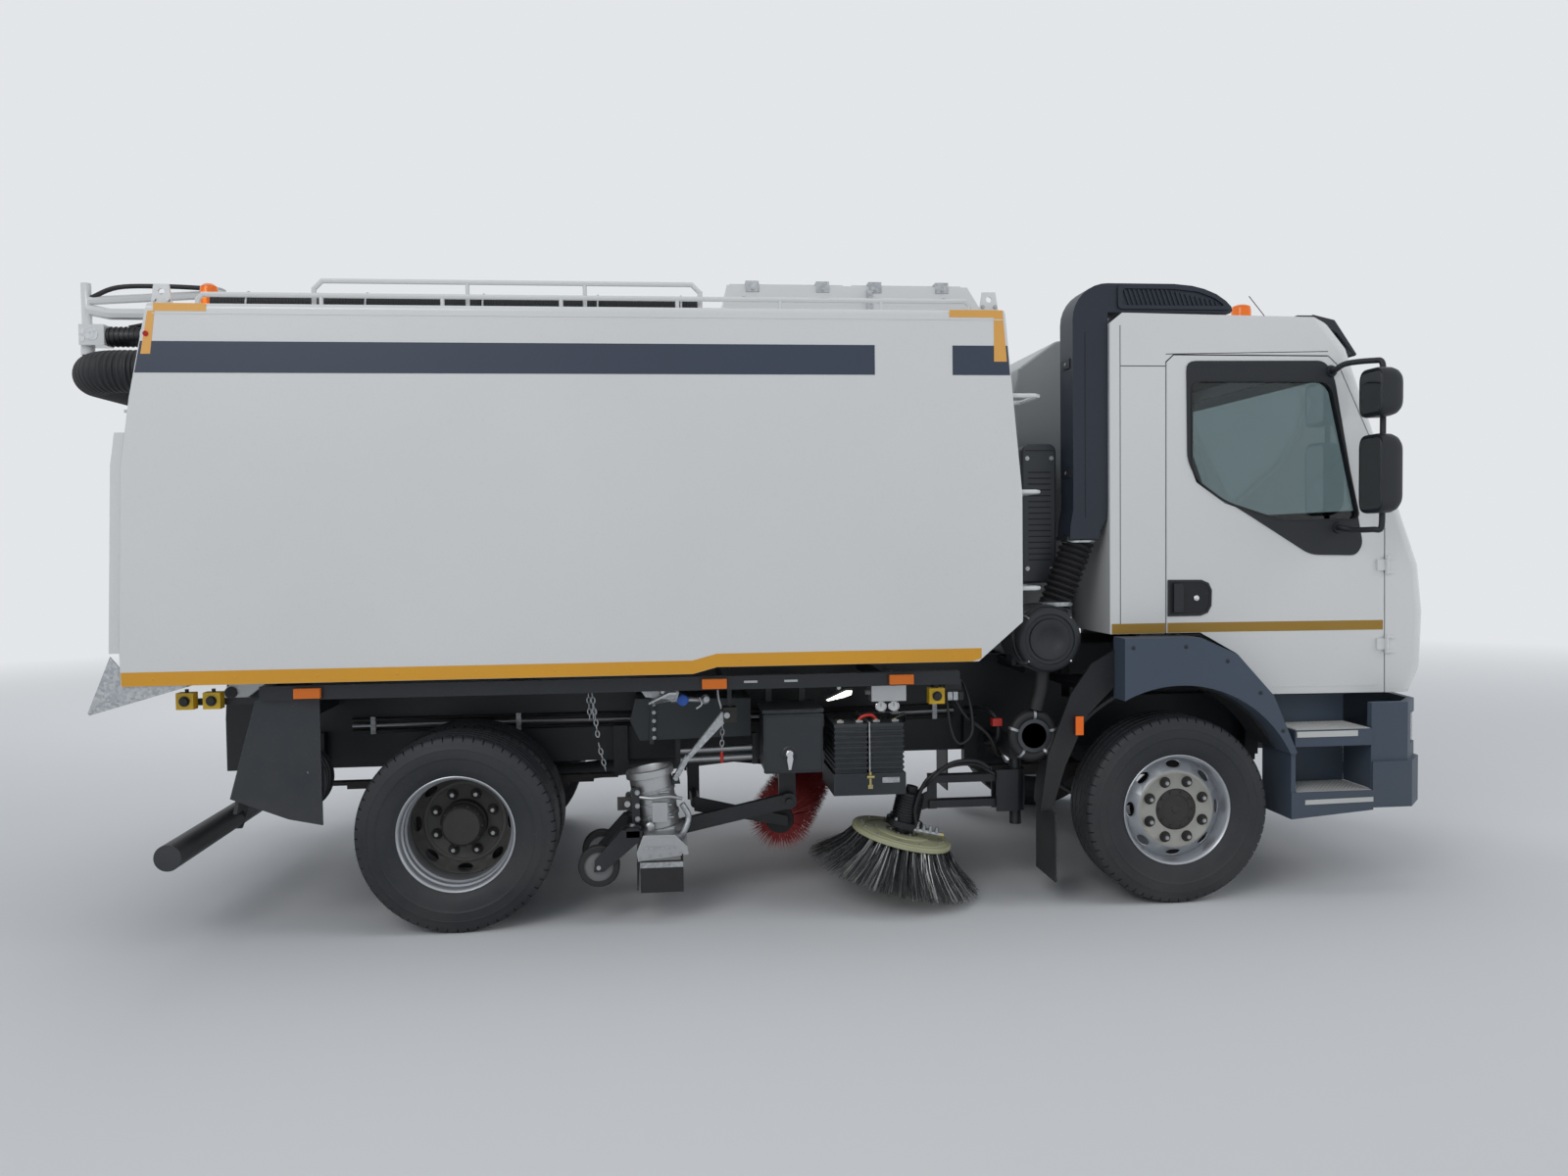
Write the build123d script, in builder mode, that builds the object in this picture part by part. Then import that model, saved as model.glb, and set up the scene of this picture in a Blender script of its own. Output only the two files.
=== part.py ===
from build123d import *
import os
from math import cos, hypot, radians, sin

# Truck-mounted road sweeper, in millimetres: +X forward, +Y left, +Z up, standing on Z = 0.
# The origin lies on the ground under the middle of the whole machine.
# The sweeping gear is on the right-hand side, which is -Y.
# Places along the truck are counted ahead of the rear axle, and ahead() turns them into X.

# Wheels and axles
wheelbase = 3280
rear_axle_x = -1455
tyre_radius = 437
tyre_width = 280
tread_width = 232
bead_radius = 250
bead_width = 210
rim_wall = 17
rim_lip = 9
rim_inset = 4
front_wheel_y = 1053
dual_outer_y = 1032
dual_pitch = 318
wheel_disc = 12
hub_radius = 104
stud_circle_radius = 137.5
stud_count = 8
nut_radius = 17
nut_height = 28
shaft_gap = 0.05
kingpin_y = 965
kingpin_radius = 20
spindle_radius = 45
steer_arm = 150

# Chassis
rail_outer_y = 430
rail_flange = 70
rail_web = 8
rail_bottom = 620
rail_top = 880
rail_rear = -1200
rail_front = 4330
beam_inner_y = 362
subframe_front = 2980
subframe_top = 1110
side_rail_y = 1140
side_rail_width = 40
side_rail_height = 60
spring_eye_z = 560
spring_leaf = 18
spring_y = (432, 488)

# Cab
cab_half_width = 1060
cab_wall = 42
cab_rear = 3000
cab_roof = 2748
door_gap = 6
glass_thickness = 6
glass_inset = 18
tunnel_half_width = 400
tunnel_top = 1235
cab_pivot_x = 4505
cab_pivot_z = 912
cab_pin_radius = 14
door_hinge_x = 4368
door_hinge_out = 10
door_pin_radius = 5
door_hinge_z = (1180, 1560)
arch_radius = 575
flare_radius = 585
flare_y = (1075, 1215)

# Hopper
hopper_half_width = 1250
hopper_wall = 40
hopper_top = 2720
hopper_bottom_rear = 1130
hopper_bottom_front = 1158
hatch_top = 2860
tip_pivot_x = -1150
tip_pivot_z = 1010
tip_pin_radius = 28
tailgate_top = 2185
tailgate_bottom = 1268
tailgate_thickness = 42
tailgate_pin_radius = 14
boom_pivot = (-1130, -600)
boom_pin_radius = 30
hose_radius = 94
hose_port_y = -900
hose_port_z = 2484
hose_port_x = -1268

# Tipping cylinder, from its trunnion on the chassis to the eye under the hopper
cylinder_foot = (-300, 700)
cylinder_eye = (1200, 1090)
trunnion_radius = 30
barrel_radius = 65
piston_rod_radius = 40

# Side brush, on parallel links behind the front wheel
brush_post = (2600, -860)
brush_post_radius = 28
link_front_x = 2520
link_rear_x = 2190
link_upper_z = 560
link_lower_z = 440
link_pin_radius = 10
brush_x = 2035
brush_y = -880
brush_disc_z = 300
brush_disc_radius = 240
brush_tilt = 13
brush_reach = 420
brush_drop = 185
brush_shaft_radius = 18
brush_boss_height = 38

# Suction nozzle and its castors
nozzle_y = -960
nozzle_pivot = (1500, 470)
castor_x = 617
castor_z = 267
castor_radius = 92

# Wide channel brush under the frame
channel_pivot = (1060, 440)
channel_right = (1470, -660, 340)
channel_left = (1800, 700, 340)
channel_radius = 175
channel_arm_y = (-690, 768)
channel_tube_radius = 22
channel_shaft_radius = 18

# Gap between pieces that touch in the real machine
seat_gap = 0.3

os.makedirs("parts", exist_ok=True)


def ahead(distance):
    """Place along the truck of a point this far ahead of the rear axle."""
    return rear_axle_x + distance


def across(side, near, far):
    """Range of Y between two distances from the centre line, on the left (1) or right (-1)."""
    return tuple(sorted((side * near, side * far)))


def slab(points, y_range, mode=Mode.ADD):
    """Side-view outline, its X counted ahead of the rear axle, pulled across a range of Y."""
    with BuildSketch(Plane.XZ.offset(-y_range[1])) as profile:
        with BuildLine():
            Polyline([(ahead(x), z) for x, z in points], close=True)
        make_face()
    extrude(profile.sketch, amount=y_range[1] - y_range[0], mode=mode)


def block(x_range, y_range, z_range, mode=Mode.ADD):
    """Box between two places on each axis, its X counted ahead of the rear axle."""
    (x0, x1), (y0, y1), (z0, z1) = x_range, y_range, z_range
    with Locations((ahead((x0 + x1) / 2), (y0 + y1) / 2, (z0 + z1) / 2)):
        Box(x1 - x0, y1 - y0, z1 - z0, mode=mode)


def rod(start, end, radius, end_radius=None, mode=Mode.ADD):
    """Round bar or cone between two points, their X counted ahead of the rear axle."""
    foot = Vector(ahead(start[0]), start[1], start[2])
    tip = Vector(ahead(end[0]), end[1], end[2])
    way = Plane(origin=(foot + tip) / 2, z_dir=tip - foot)
    with Locations(way.location):
        if end_radius is None:
            Cylinder(radius, (tip - foot).length, mode=mode)
        else:
            Cone(radius, end_radius, (tip - foot).length, mode=mode)


def bent_tube(points, bend, radius):
    """Round bar along straight runs with rounded corners."""
    route = [Vector(ahead(x), y, z) for x, y, z in points]
    with BuildLine():
        path = FilletPolyline(*route, radius=bend)
    with BuildSketch(Plane(origin=path @ 0, z_dir=path % 0)) as profile:
        Circle(radius)
    sweep(profile.sketch, path=path)


def bar(points, radius, sides=8):
    """Thin bar with flats along straight runs, mitred at its corners."""
    route = [Vector(ahead(x), y, z) for x, y, z in points]
    with BuildLine():
        path = Polyline(*route)
    with BuildSketch(Plane(origin=path @ 0, z_dir=path % 0)) as profile:
        RegularPolygon(radius, sides)
    sweep(profile.sketch, path=path, transition=Transition.RIGHT)


def prism(start, end, radius, sides=6, mode=Mode.ADD):
    """Bar with flats between two points."""
    foot = Vector(ahead(start[0]), start[1], start[2])
    tip = Vector(ahead(end[0]), end[1], end[2])
    with BuildSketch(Plane(origin=foot, z_dir=tip - foot)) as profile:
        RegularPolygon(radius, sides)
    extrude(profile.sketch, amount=(tip - foot).length, mode=mode)


def turned(profile_points, place, mode=Mode.ADD):
    """Ring or disc turned about a wheel's axle: points of radius and distance from the centre line."""
    side = 1 if place[1] > 0 else -1
    axle = Axis((ahead(place[0]), 0, place[2]), (0, 1, 0))
    with BuildSketch(Plane.XY.offset(place[2])) as profile:
        with BuildLine():
            Polyline([(ahead(place[0]) + r, side * y) for r, y in profile_points], close=True)
        make_face()
    revolve(profile.sketch, axle, mode=mode)


# Chassis frame
with BuildPart() as chassis_frame:
    for side in (-1, 1):
        block((rail_rear, rail_front), across(side, rail_outer_y - rail_flange, rail_outer_y),
              (rail_bottom, rail_top))
        block((rail_rear, rail_front), across(side, rail_outer_y - rail_flange, rail_outer_y - rail_web),
              (rail_bottom + rail_web, rail_top - rail_web), Mode.SUBTRACT)
    # Cross members
    for place in (-1100, -560, 1420, 2300, 4240):
        block((place, place + 70), (-rail_outer_y + rail_web, rail_outer_y - rail_web), (740, 860))
    # Trunnion tube for the foot of the tipping cylinder
    trunnion_y = rail_outer_y - rail_web
    rod((cylinder_foot[0], -trunnion_y, cylinder_foot[1]), (cylinder_foot[0], trunnion_y, cylinder_foot[1]),
        trunnion_radius)
    # Front brackets that carry the cab's pivots
    for side in (-1, 1):
        slab([(4240, 640), (4240, 860), (4460, 885), (4485, 930), (4497, 938), (4513, 938), (4525, 930), (4530, 895),
              (4330, 640)], across(side, 398, 422))
        rod((cab_pivot_x, side * 350, cab_pivot_z), (cab_pivot_x, side * 400, cab_pivot_z), cab_pin_radius)
    # Air tanks on the left rail
    for place in (520, 1000):
        rod((place, 585, 740), (place + 440, 585, 740), 122)
        block((place + 150, place + 290), (rail_outer_y, 480), (700, 780))
    # Subframe beams on the rails, with outriggers and side rails
    for side in (-1, 1):
        block((-1100, subframe_front), across(side, beam_inner_y, rail_outer_y), (rail_top, subframe_top))
        for place in (-800, 250, 1180, 1900):
            block((place, place + 50), across(side, rail_outer_y, side_rail_y),
                  (subframe_top - side_rail_height, subframe_top))
        block((-800, 2250), across(side, side_rail_y, side_rail_y + side_rail_width),
              (subframe_top - side_rail_height, subframe_top))
    # Tipping pins at the rear ends
    for side in (-1, 1):
        slab([(rail_rear, rail_top - 5), (-1090, rail_top - 5), (-1090, 1055), (-1190, 1045)],
             across(side, beam_inner_y, rail_outer_y))
        rod((tip_pivot_x, side * 400, tip_pivot_z), (tip_pivot_x, side * 500, tip_pivot_z), tip_pin_radius)
    # Hangers of the leaf springs
    for place in (-760, 700, 2480, 3990):
        for side in (-1, 1):
            block((place - 35, place + 35), across(side, rail_outer_y, 490), (spring_eye_z, 800))
    # Post of the side brush on its outrigger
    block((brush_post[0] - 35, brush_post[0] + 35), (brush_post[1] - 40, -rail_outer_y), (650, 730))
    rod((*brush_post, 330), (*brush_post, 660), brush_post_radius)
    # Hanger of the suction nozzle's arm, and the pivots of the channel brush
    block((nozzle_pivot[0] - 40, nozzle_pivot[0] + 40), (-740, -rail_outer_y), (560, 630))
    block((nozzle_pivot[0] - 40, nozzle_pivot[0] + 40), (-790, -740), (430, 630))
    rod((nozzle_pivot[0], -870, nozzle_pivot[1]), (nozzle_pivot[0], -740, nozzle_pivot[1]), 16)
    for side in (-1, 1):
        block((channel_pivot[0] - 30, channel_pivot[0] + 30), across(side, 385, 405),
              (channel_pivot[1] - 40, rail_bottom + 4))
        rod((channel_pivot[0], side * 380, channel_pivot[1]), (channel_pivot[0], side * 410, channel_pivot[1]),
            channel_tube_radius + shaft_gap, mode=Mode.SUBTRACT)
chassis_frame.part.label = "chassis_frame"
export_step(chassis_frame.part, "parts/chassis_frame.step")


def leaf_spring(middle, half_length, leaves, top, y_range):
    """Stack of leaves under one another, each shorter than the one above it."""
    for index in range(leaves):
        reach = half_length * (1 - 0.17 * index)
        block((middle - reach, middle + reach), y_range, (top - (index + 1) * spring_leaf, top - index * spring_leaf))


# Front axle with its springs
with BuildPart() as front_axle:
    block((wheelbase - 45, wheelbase + 45), (-600, 600), (345, 405))
    for side in (-1, 1):
        block((wheelbase - 45, wheelbase + 45), across(side, 560, 640), (345, 455))
        block((wheelbase - 45, wheelbase + 45), across(side, 600, kingpin_y - 30), (400, 455))
        rod((wheelbase, side * kingpin_y, 396), (wheelbase, side * kingpin_y, 478), 44)
        rod((wheelbase, side * kingpin_y, 350), (wheelbase, side * kingpin_y, 524), kingpin_radius)
        block((wheelbase - 80, wheelbase + 80), across(side, *spring_y), (400, 470))
        leaf_spring(wheelbase - 45, 735, 4, 542, across(side, *spring_y))
        for place in (wheelbase - 790, wheelbase + 705):
            block((place - 10, place + 25), across(side, *spring_y), (530, spring_eye_z - seat_gap))
front_axle.part.label = "front_axle"
export_step(front_axle.part, "parts/front_axle.step")

# Driven rear axle with its springs
with BuildPart() as rear_axle:
    rod((0, -700, tyre_radius), (0, 700, tyre_radius), 62)
    rod((-70, 0, tyre_radius), (70, 0, tyre_radius), 185)
    rod((-150, 0, tyre_radius), (-70, 0, tyre_radius), 110, 170)
    rod((0, 0, tyre_radius), (250, 0, tyre_radius + 30), 70)
    for side in (-1, 1):
        rod((0, side * 535, tyre_radius), (0, side * 560, tyre_radius), 190)
        rod((0, side * 700, tyre_radius), (0, side * 760, tyre_radius), spindle_radius)
        block((-90, 90), across(side, *spring_y), (380, 507))
        leaf_spring(-30, 715, 3, spring_eye_z - seat_gap, across(side, *spring_y))
rear_axle.part.label = "rear_axle"
export_step(rear_axle.part, "parts/rear_axle.step")

# Engine, gearbox, propeller shaft and silencer
with BuildPart() as powertrain:
    block((3060, 4180), (-330, 330), (560, 1150))
    slab([(3060, 560), (3060, 900), (2560, 760), (2560, 590)], (-190, 190))
    rod((2560, 0, 675), (252.2, 0, tyre_radius + 30.2), 48)
    rod((2640, 470, 700), (2640, 860, 700), 125)
    block((2600, 2680), (rail_outer_y, 480), (670, 760))
    bent_tube([(3100, 250, 584), (2640, 250, 584), (2640, 500, 584)], 60, 28)
powertrain.part.label = "powertrain"
export_step(powertrain.part, "parts/powertrain.step")

# Fuel tank on the left rail
with BuildPart() as fuel_tank:
    block((1500, 2330), (455, 1060), (570, 1000))
    fillet(fuel_tank.edges().filter_by(Axis.X), 70)
    for place in (1620, 2130):
        block((place, place + 70), (rail_outer_y, 480), (640, 870))
    rod((2200, 950, 990), (2200, 950, 1035), 45)
fuel_tank.part.label = "fuel_tank"
export_step(fuel_tank.part, "parts/fuel_tank.step")

# Control cabinet and ribbed batteries on the right
with BuildPart() as side_boxes:
    block((1370, 1625), (-1090, -760), (650, 925))
    block((1358, 1637), (-1096, -750), (925, 937))
    block((1362, 1632), (-1100, -1090), (655, 920))
    for place in (1400, 1560):
        block((place, place + 30), (-790, -760), (900, subframe_top - side_rail_height))
        block((place, place + 30), (-790, -rail_outer_y), (1000, 1030))
    block((1680, 2015), (-1100, -720), (540, 640))
    for low in (1690, 1858):
        block((low, low + 148), (-1080, -740), (640, 850))
        for rib in range(8):
            block((low - 4, low + 152), (-1088, -740), (656 + 24 * rib, 668 + 24 * rib))
    for place in (1720, 1930):
        block((place, place + 40), (-740, -rail_outer_y), (625, 640))
side_boxes.part.label = "side_boxes"
export_step(side_boxes.part, "parts/side_boxes.step")

# Front bumper: a wrapped shell in two tiers
bumper_side_rear = 4225
with BuildPart() as front_bumper:
    for low, high, grow in ((421, 638, 0), (638, 915, 14)):
        with BuildSketch(Plane.XY.offset(low)):
            with BuildLine():
                Polyline((ahead(bumper_side_rear), 1195 - grow), (ahead(4420 - grow), 1195 - grow),
                         (ahead(4540 - grow), 1060 - grow), (ahead(4590 - grow), 700), (ahead(4610 - grow), 0),
                         (ahead(4590 - grow), -700), (ahead(4540 - grow), grow - 1060),
                         (ahead(4420 - grow), grow - 1195), (ahead(bumper_side_rear), grow - 1195), close=True)
            make_face()
            with BuildLine():
                Polyline((ahead(bumper_side_rear - 10), 1160 - grow), (ahead(4405 - grow), 1160 - grow),
                         (ahead(4510 - grow), 1045 - grow), (ahead(4555 - grow), 690), (ahead(4575 - grow), 0),
                         (ahead(4555 - grow), -690), (ahead(4510 - grow), grow - 1045),
                         (ahead(4405 - grow), grow - 1160), (ahead(bumper_side_rear - 10), grow - 1160), close=True)
            make_face(mode=Mode.SUBTRACT)
        extrude(amount=high - low)
    # Air intake in the middle and a seat for each headlamp
    for side in (-1, 1):
        block((4300, 4640), across(side, 760, 1120), (708, 850), Mode.SUBTRACT)
    block((4500, 4640), (-520, 520), (470, 590), Mode.SUBTRACT)
    for side in (-1, 1):
        block((rail_front + 1, 4560), across(side, 422 + seat_gap, 446), (650, 720))
front_bumper.part.label = "front_bumper"
export_step(front_bumper.part, "parts/front_bumper.step")

# Headlamps
with BuildPart() as headlamps:
    for side in (-1, 1):
        with BuildSketch(Plane.XY.offset(708.5)):
            with BuildLine():
                Polyline((ahead(4380), side * 1119), (ahead(4445), side * 1119), (ahead(4522), side * 1040),
                         (ahead(4566), side * 761), (ahead(4500), side * 761), close=True)
            make_face()
        extrude(amount=141)
headlamps.part.label = "headlamps"
export_step(headlamps.part, "parts/headlamps.step")

# Steps below the doors, and the flares over the front wheels
with BuildPart() as steps_and_flares:
    for side in (-1, 1):
        block((3820, 4225), across(side, 925, 945), (395, 935))
        block((3820, 3842), across(side, 925, 1195), (380, 700))
        slab([(3820, 380), (4225, 412), (4225, 505), (3820, 505)], across(side, 925, 1200))
        slab([(3842, 717), (4225, 717), (4225, 795), (3842, 795)], across(side, 925, 1190))
        with BuildSketch(Plane.XZ.offset(-max(across(side, *flare_y)))):
            with BuildLine():
                Polyline([(ahead(x), z) for x, z in ((3010, 690), (3010, 1243), (3373, 1240), (3549, 1160),
                                                     (3725, 965), (3838, 700), (3838, 690))], close=True)
            make_face()
            with Locations((ahead(wheelbase), tyre_radius)):
                Circle(flare_radius, mode=Mode.SUBTRACT)
        extrude(amount=flare_y[1] - flare_y[0])
steps_and_flares.part.label = "steps_and_flares"
export_step(steps_and_flares.part, "parts/steps_and_flares.step")

# Black wheel-arch liners with the mud flaps
with BuildPart() as arch_liners:
    for side in (-1, 1):
        with BuildSketch(Plane.XZ.offset(-max(across(side, 870, flare_y[0])))):
            with Locations((ahead(wheelbase), tyre_radius)):
                Circle(arch_radius + 15)
                Circle(arch_radius, mode=Mode.SUBTRACT)
            with Locations((ahead(wheelbase) + 350, tyre_radius - 400)):
                Rectangle(900, 1336, mode=Mode.SUBTRACT)
            with Locations((ahead(wheelbase) - 350, tyre_radius - 500)):
                Rectangle(900, 1000, mode=Mode.SUBTRACT)
        extrude(amount=flare_y[0] - 870)
        slab([(3010, 1010), (2880, 880), (2770, 640), (2708, tyre_radius), (2650, tyre_radius), (2690, 700),
              (2800, 980), (2900, 1120), (3010, 1180)], across(side, flare_y[0], flare_y[0] + 15))
        block((2690, 2698), across(side, 900, 1180), (125, tyre_radius + 6))
        block((2690, 2710), across(side, 870, 1090), (tyre_radius, tyre_radius + 20))
        block((2900, 3660), across(side, 455, 870), (975, 1000))
arch_liners.part.label = "arch_liners"
export_step(arch_liners.part, "parts/arch_liners.step")

# Rear side panels, lamp panel and underrun bar
with BuildPart() as rear_guard:
    for side in (-1, 1):
        slab([(-826, 1049), (-942, 626), (-700, 530), (-560, 500), (-560, 1049)], across(side, 1140, 1152))
        block((-826, -790), across(side, 1060, 1152), (980, 1049))
        slab([(-930, 560), (-915, 560), (-885, 720), (-900, 720)], across(side, rail_outer_y, 1152))
        slab([(-1150, rail_bottom - seat_gap), (-1050, rail_bottom - seat_gap), (-1150, 330), (-1200, 330)],
             across(side, 380, 400))
    rod((-1190, -1190, 390), (-1190, 1190, 390), 57)
rear_guard.part.label = "rear_guard"
export_step(rear_guard.part, "parts/rear_guard.step")

# Wash hose reel behind the right rear wheel
with BuildPart() as hose_reel:
    reel_x, reel_z = -700, 690
    rod((reel_x, -1130, reel_z), (reel_x, -1000, reel_z), 60)
    for y in (-1130, -1008):
        rod((reel_x, y, reel_z), (reel_x, y + 8, reel_z), 155)
    rod((reel_x, -1120, reel_z), (reel_x, -1010, reel_z), 120)
    block((reel_x - 30, reel_x + 30), (-1000, -960), (650, 990))
    block((reel_x - 30, reel_x + 30), (-960, -rail_outer_y), (930, 990))
hose_reel.part.label = "hose_reel"
export_step(hose_reel.part, "parts/hose_reel.step")

# Air filter with its bellows above and ring duct below
with BuildPart() as air_filter:
    filter_x, filter_z, ring_x, ring_z = 2690, 1238, 2645, 778
    bellows_low, bellows_high, pleats = 1395, 1552 - seat_gap, 6
    rod((filter_x, -1130, filter_z), (filter_x, -830, filter_z), 158)
    rod((filter_x, -955, filter_z), (filter_x, -955, bellows_low + 2), 76)
    # Pleats of the bellows step forward towards the stack
    for pleat in range(pleats):
        x, z = filter_x + 34 * pleat, bellows_low + (bellows_high - bellows_low) / pleats * pleat
        rod((x, -955, z), (x, -955, z + (bellows_high - bellows_low) / pleats), 88, 70)
    rod((ring_x, -1040, ring_z), (ring_x, -980, ring_z), 125)
    rod((ring_x, -1045, ring_z), (ring_x, -1000, ring_z), 100, mode=Mode.SUBTRACT)
    rod((ring_x, -1010, ring_z + 110), (filter_x, -1010, filter_z), 34)
    block((filter_x - 50, filter_x + 50), (-900, -rail_outer_y), (1060, 1100))
air_filter.part.label = "air_filter"
export_step(air_filter.part, "parts/air_filter.step")

# Cover of the fan and water tanks between hopper and cab
with BuildPart() as engine_cowl:
    slab([(2660, subframe_top + seat_gap), (2660, 2330), (2710, 2560), (2978, 2750), (2978, subframe_top + seat_gap)],
         (-610, 840))
    fillet(engine_cowl.edges().filter_by(Axis.X, reverse=True).group_by(Axis.Z)[-1], 60)
engine_cowl.part.label = "engine_cowl"
export_step(engine_cowl.part, "parts/engine_cowl.step")

# Dark cooler housing beside the cowl
with BuildPart() as cooler_box:
    block((2645, 2815), (-850, -610 - seat_gap), (1490, 2160))
    fillet(cooler_box.edges().filter_by(Axis.Y).group_by(Axis.Z)[-1], 40)
cooler_box.part.label = "cooler_box"
export_step(cooler_box.part, "parts/cooler_box.step")

# Amber side lamps, work lamps and rear lamp clusters
with BuildPart() as lamps:
    face = side_rail_y + side_rail_width
    for side in (-1, 1):
        for place in (-597, 1138, 1977):
            block((place - 58, place + 58), across(side, face + seat_gap, face + 30), (1055, 1103))
        block((-955, -918 - 8), across(side, 700, 1040), (585, 690))
        block((2810, 2850), across(side, flare_y[0] + 15 + seat_gap, flare_y[0] + 40), (790, 880))
    for place in (910, 1700):
        block((place - 60, place + 60), (-1160, -1090), (1000, 1040))
        block((place - 12, place + 12), (-1150, -1141), (1040, subframe_top - side_rail_height))
lamps.part.label = "lamps"
export_step(lamps.part, "parts/lamps.step")

# Steering knuckles, each with its stub axle, brake plate and steering arm
for side, name in ((-1, "knuckle_right"), (1, "knuckle_left")):
    with BuildPart() as knuckle:
        block((wheelbase - 60, wheelbase + 60), across(side, kingpin_y + 50, 1050), (350, 524))
        for low, high in ((350, 392), (482, 524)):
            block((wheelbase - 36, wheelbase + 36), across(side, kingpin_y - 38, kingpin_y + 60), (low, high))
        rod((wheelbase, side * kingpin_y, 300), (wheelbase, side * kingpin_y, 560), kingpin_radius + shaft_gap,
            mode=Mode.SUBTRACT)
        rod((wheelbase, side * 1042, tyre_radius), (wheelbase, side * 1056, tyre_radius), 180)
        rod((wheelbase, side * 1050, tyre_radius), (wheelbase, side * 1110, tyre_radius), spindle_radius)
        arm_x = wheelbase - steer_arm
        rod((wheelbase - 34, side * kingpin_y, 372), (arm_x, side * kingpin_y, 360), 15)
        rod((arm_x, side * kingpin_y, 300), (arm_x, side * kingpin_y, 370), 12)
    knuckle.part.label = name
    export_step(knuckle.part, f"parts/{name}.step")

# Track rod between the steering arms
with BuildPart() as tie_rod:
    arm_x = wheelbase - steer_arm
    rod((arm_x, -kingpin_y, 318), (arm_x, kingpin_y, 318), 13)
    for side in (-1, 1):
        rod((arm_x, side * kingpin_y, 304), (arm_x, side * kingpin_y, 332), 20)
    for side in (-1, 1):
        rod((arm_x, side * kingpin_y, 290), (arm_x, side * kingpin_y, 340), 12 + shaft_gap, mode=Mode.SUBTRACT)
tie_rod.part.label = "tie_rod"
export_step(tie_rod.part, "parts/tie_rod.step")


def tyre_outline(y):
    """Tyre about a wheel's middle plane, with a flat tread and leaning sidewalls: radius and distance out."""
    bead, wide, tread = bead_width / 2, tyre_width / 2, tread_width / 2
    return [(bead_radius, y - bead), (bead_radius + 105, y - wide), (tyre_radius, y - tread),
            (tyre_radius, y + tread), (bead_radius + 105, y + wide), (bead_radius, y + bead)]


# Front wheels and their tyres
for side, hand in ((-1, "right"), (1, "left")):
    place = (wheelbase, side, tyre_radius)
    with BuildPart() as front_wheel:
        half = bead_width / 2 + rim_inset
        rim_inner, outer = bead_radius - rim_wall, front_wheel_y + half
        turned([(rim_inner, front_wheel_y - half), (rim_inner, outer + rim_lip), (bead_radius + 8, outer + rim_lip),
                (bead_radius, outer), (bead_radius, front_wheel_y - half)], place)
        turned([(hub_radius - 2, 1138), (hub_radius - 2, 1150), (180, 1150), (rim_inner + 1, 1096),
                (rim_inner + 1, 1080), (176, 1138)], place)
        turned([(spindle_radius + shaft_gap, 1066), (hub_radius, 1066), (hub_radius, 1146), (60, 1146), (60, 1128),
                (0, 1128), (0, 1112), (spindle_radius + shaft_gap, 1112)], place)
        for stud in range(stud_count):
            turn = radians(360 / stud_count * (stud + 0.5))
            x, z = wheelbase + stud_circle_radius * cos(turn), tyre_radius + stud_circle_radius * sin(turn)
            prism((x, side * 1145, z), (x, side * (1150 + nut_height), z), nut_radius)
    front_wheel.part.label = f"front_wheel_{hand}"
    export_step(front_wheel.part, f"parts/front_wheel_{hand}.step")
    with BuildPart() as front_tyre:
        turned(tyre_outline(front_wheel_y), place)
    front_tyre.part.label = f"front_tyre_{hand}"
    export_step(front_tyre.part, f"parts/front_tyre_{hand}.step")

# Twin rear wheels and their tyres
for side, hand in ((-1, "right"), (1, "left")):
    place = (0, side, tyre_radius)
    inner_y, clamp_y = dual_outer_y - dual_pitch, dual_outer_y - dual_pitch / 2
    with BuildPart() as rear_wheels:
        half = bead_width / 2 + rim_inset
        rim_inner, outer = bead_radius - rim_wall, dual_outer_y + half
        turned([(rim_inner, dual_outer_y - half), (rim_inner, outer + rim_lip), (bead_radius + 8, outer + rim_lip),
                (bead_radius, outer), (bead_radius, dual_outer_y - half)], place)
        turned([(rim_inner, inner_y - half), (rim_inner, inner_y + half), (bead_radius, inner_y + half),
                (bead_radius, inner_y - half)], place)
        turned([(hub_radius - 6, clamp_y), (hub_radius - 6, clamp_y + wheel_disc), (182, clamp_y + wheel_disc),
                (rim_inner + 1, clamp_y + 72), (rim_inner + 1, clamp_y + 56), (188, clamp_y)], place)
        turned([(hub_radius - 6, clamp_y - wheel_disc), (hub_radius - 6, clamp_y), (188, clamp_y),
                (rim_inner + 1, clamp_y - 56), (rim_inner + 1, clamp_y - 72), (182, clamp_y - wheel_disc)], place)
        turned([(spindle_radius + shaft_gap, 702), (hub_radius, 702), (hub_radius, 950), (90, 1000), (0, 1000),
                (0, 763), (spindle_radius + shaft_gap, 763)], place)
        for stud in range(stud_count):
            turn = radians(360 / stud_count * (stud + 0.5))
            x, z = stud_circle_radius * cos(turn), tyre_radius + stud_circle_radius * sin(turn)
            prism((x, side * (clamp_y + 5), z), (x, side * (clamp_y + wheel_disc + nut_height), z), nut_radius)
    rear_wheels.part.label = f"rear_wheels_{hand}"
    export_step(rear_wheels.part, f"parts/rear_wheels_{hand}.step")
    with BuildPart() as rear_tyres:
        turned(tyre_outline(dual_outer_y), place)
        turned(tyre_outline(inner_y), place)
    rear_tyres.part.label = f"rear_tyres_{hand}"
    export_step(rear_tyres.part, f"parts/rear_tyres_{hand}.step")

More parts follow.
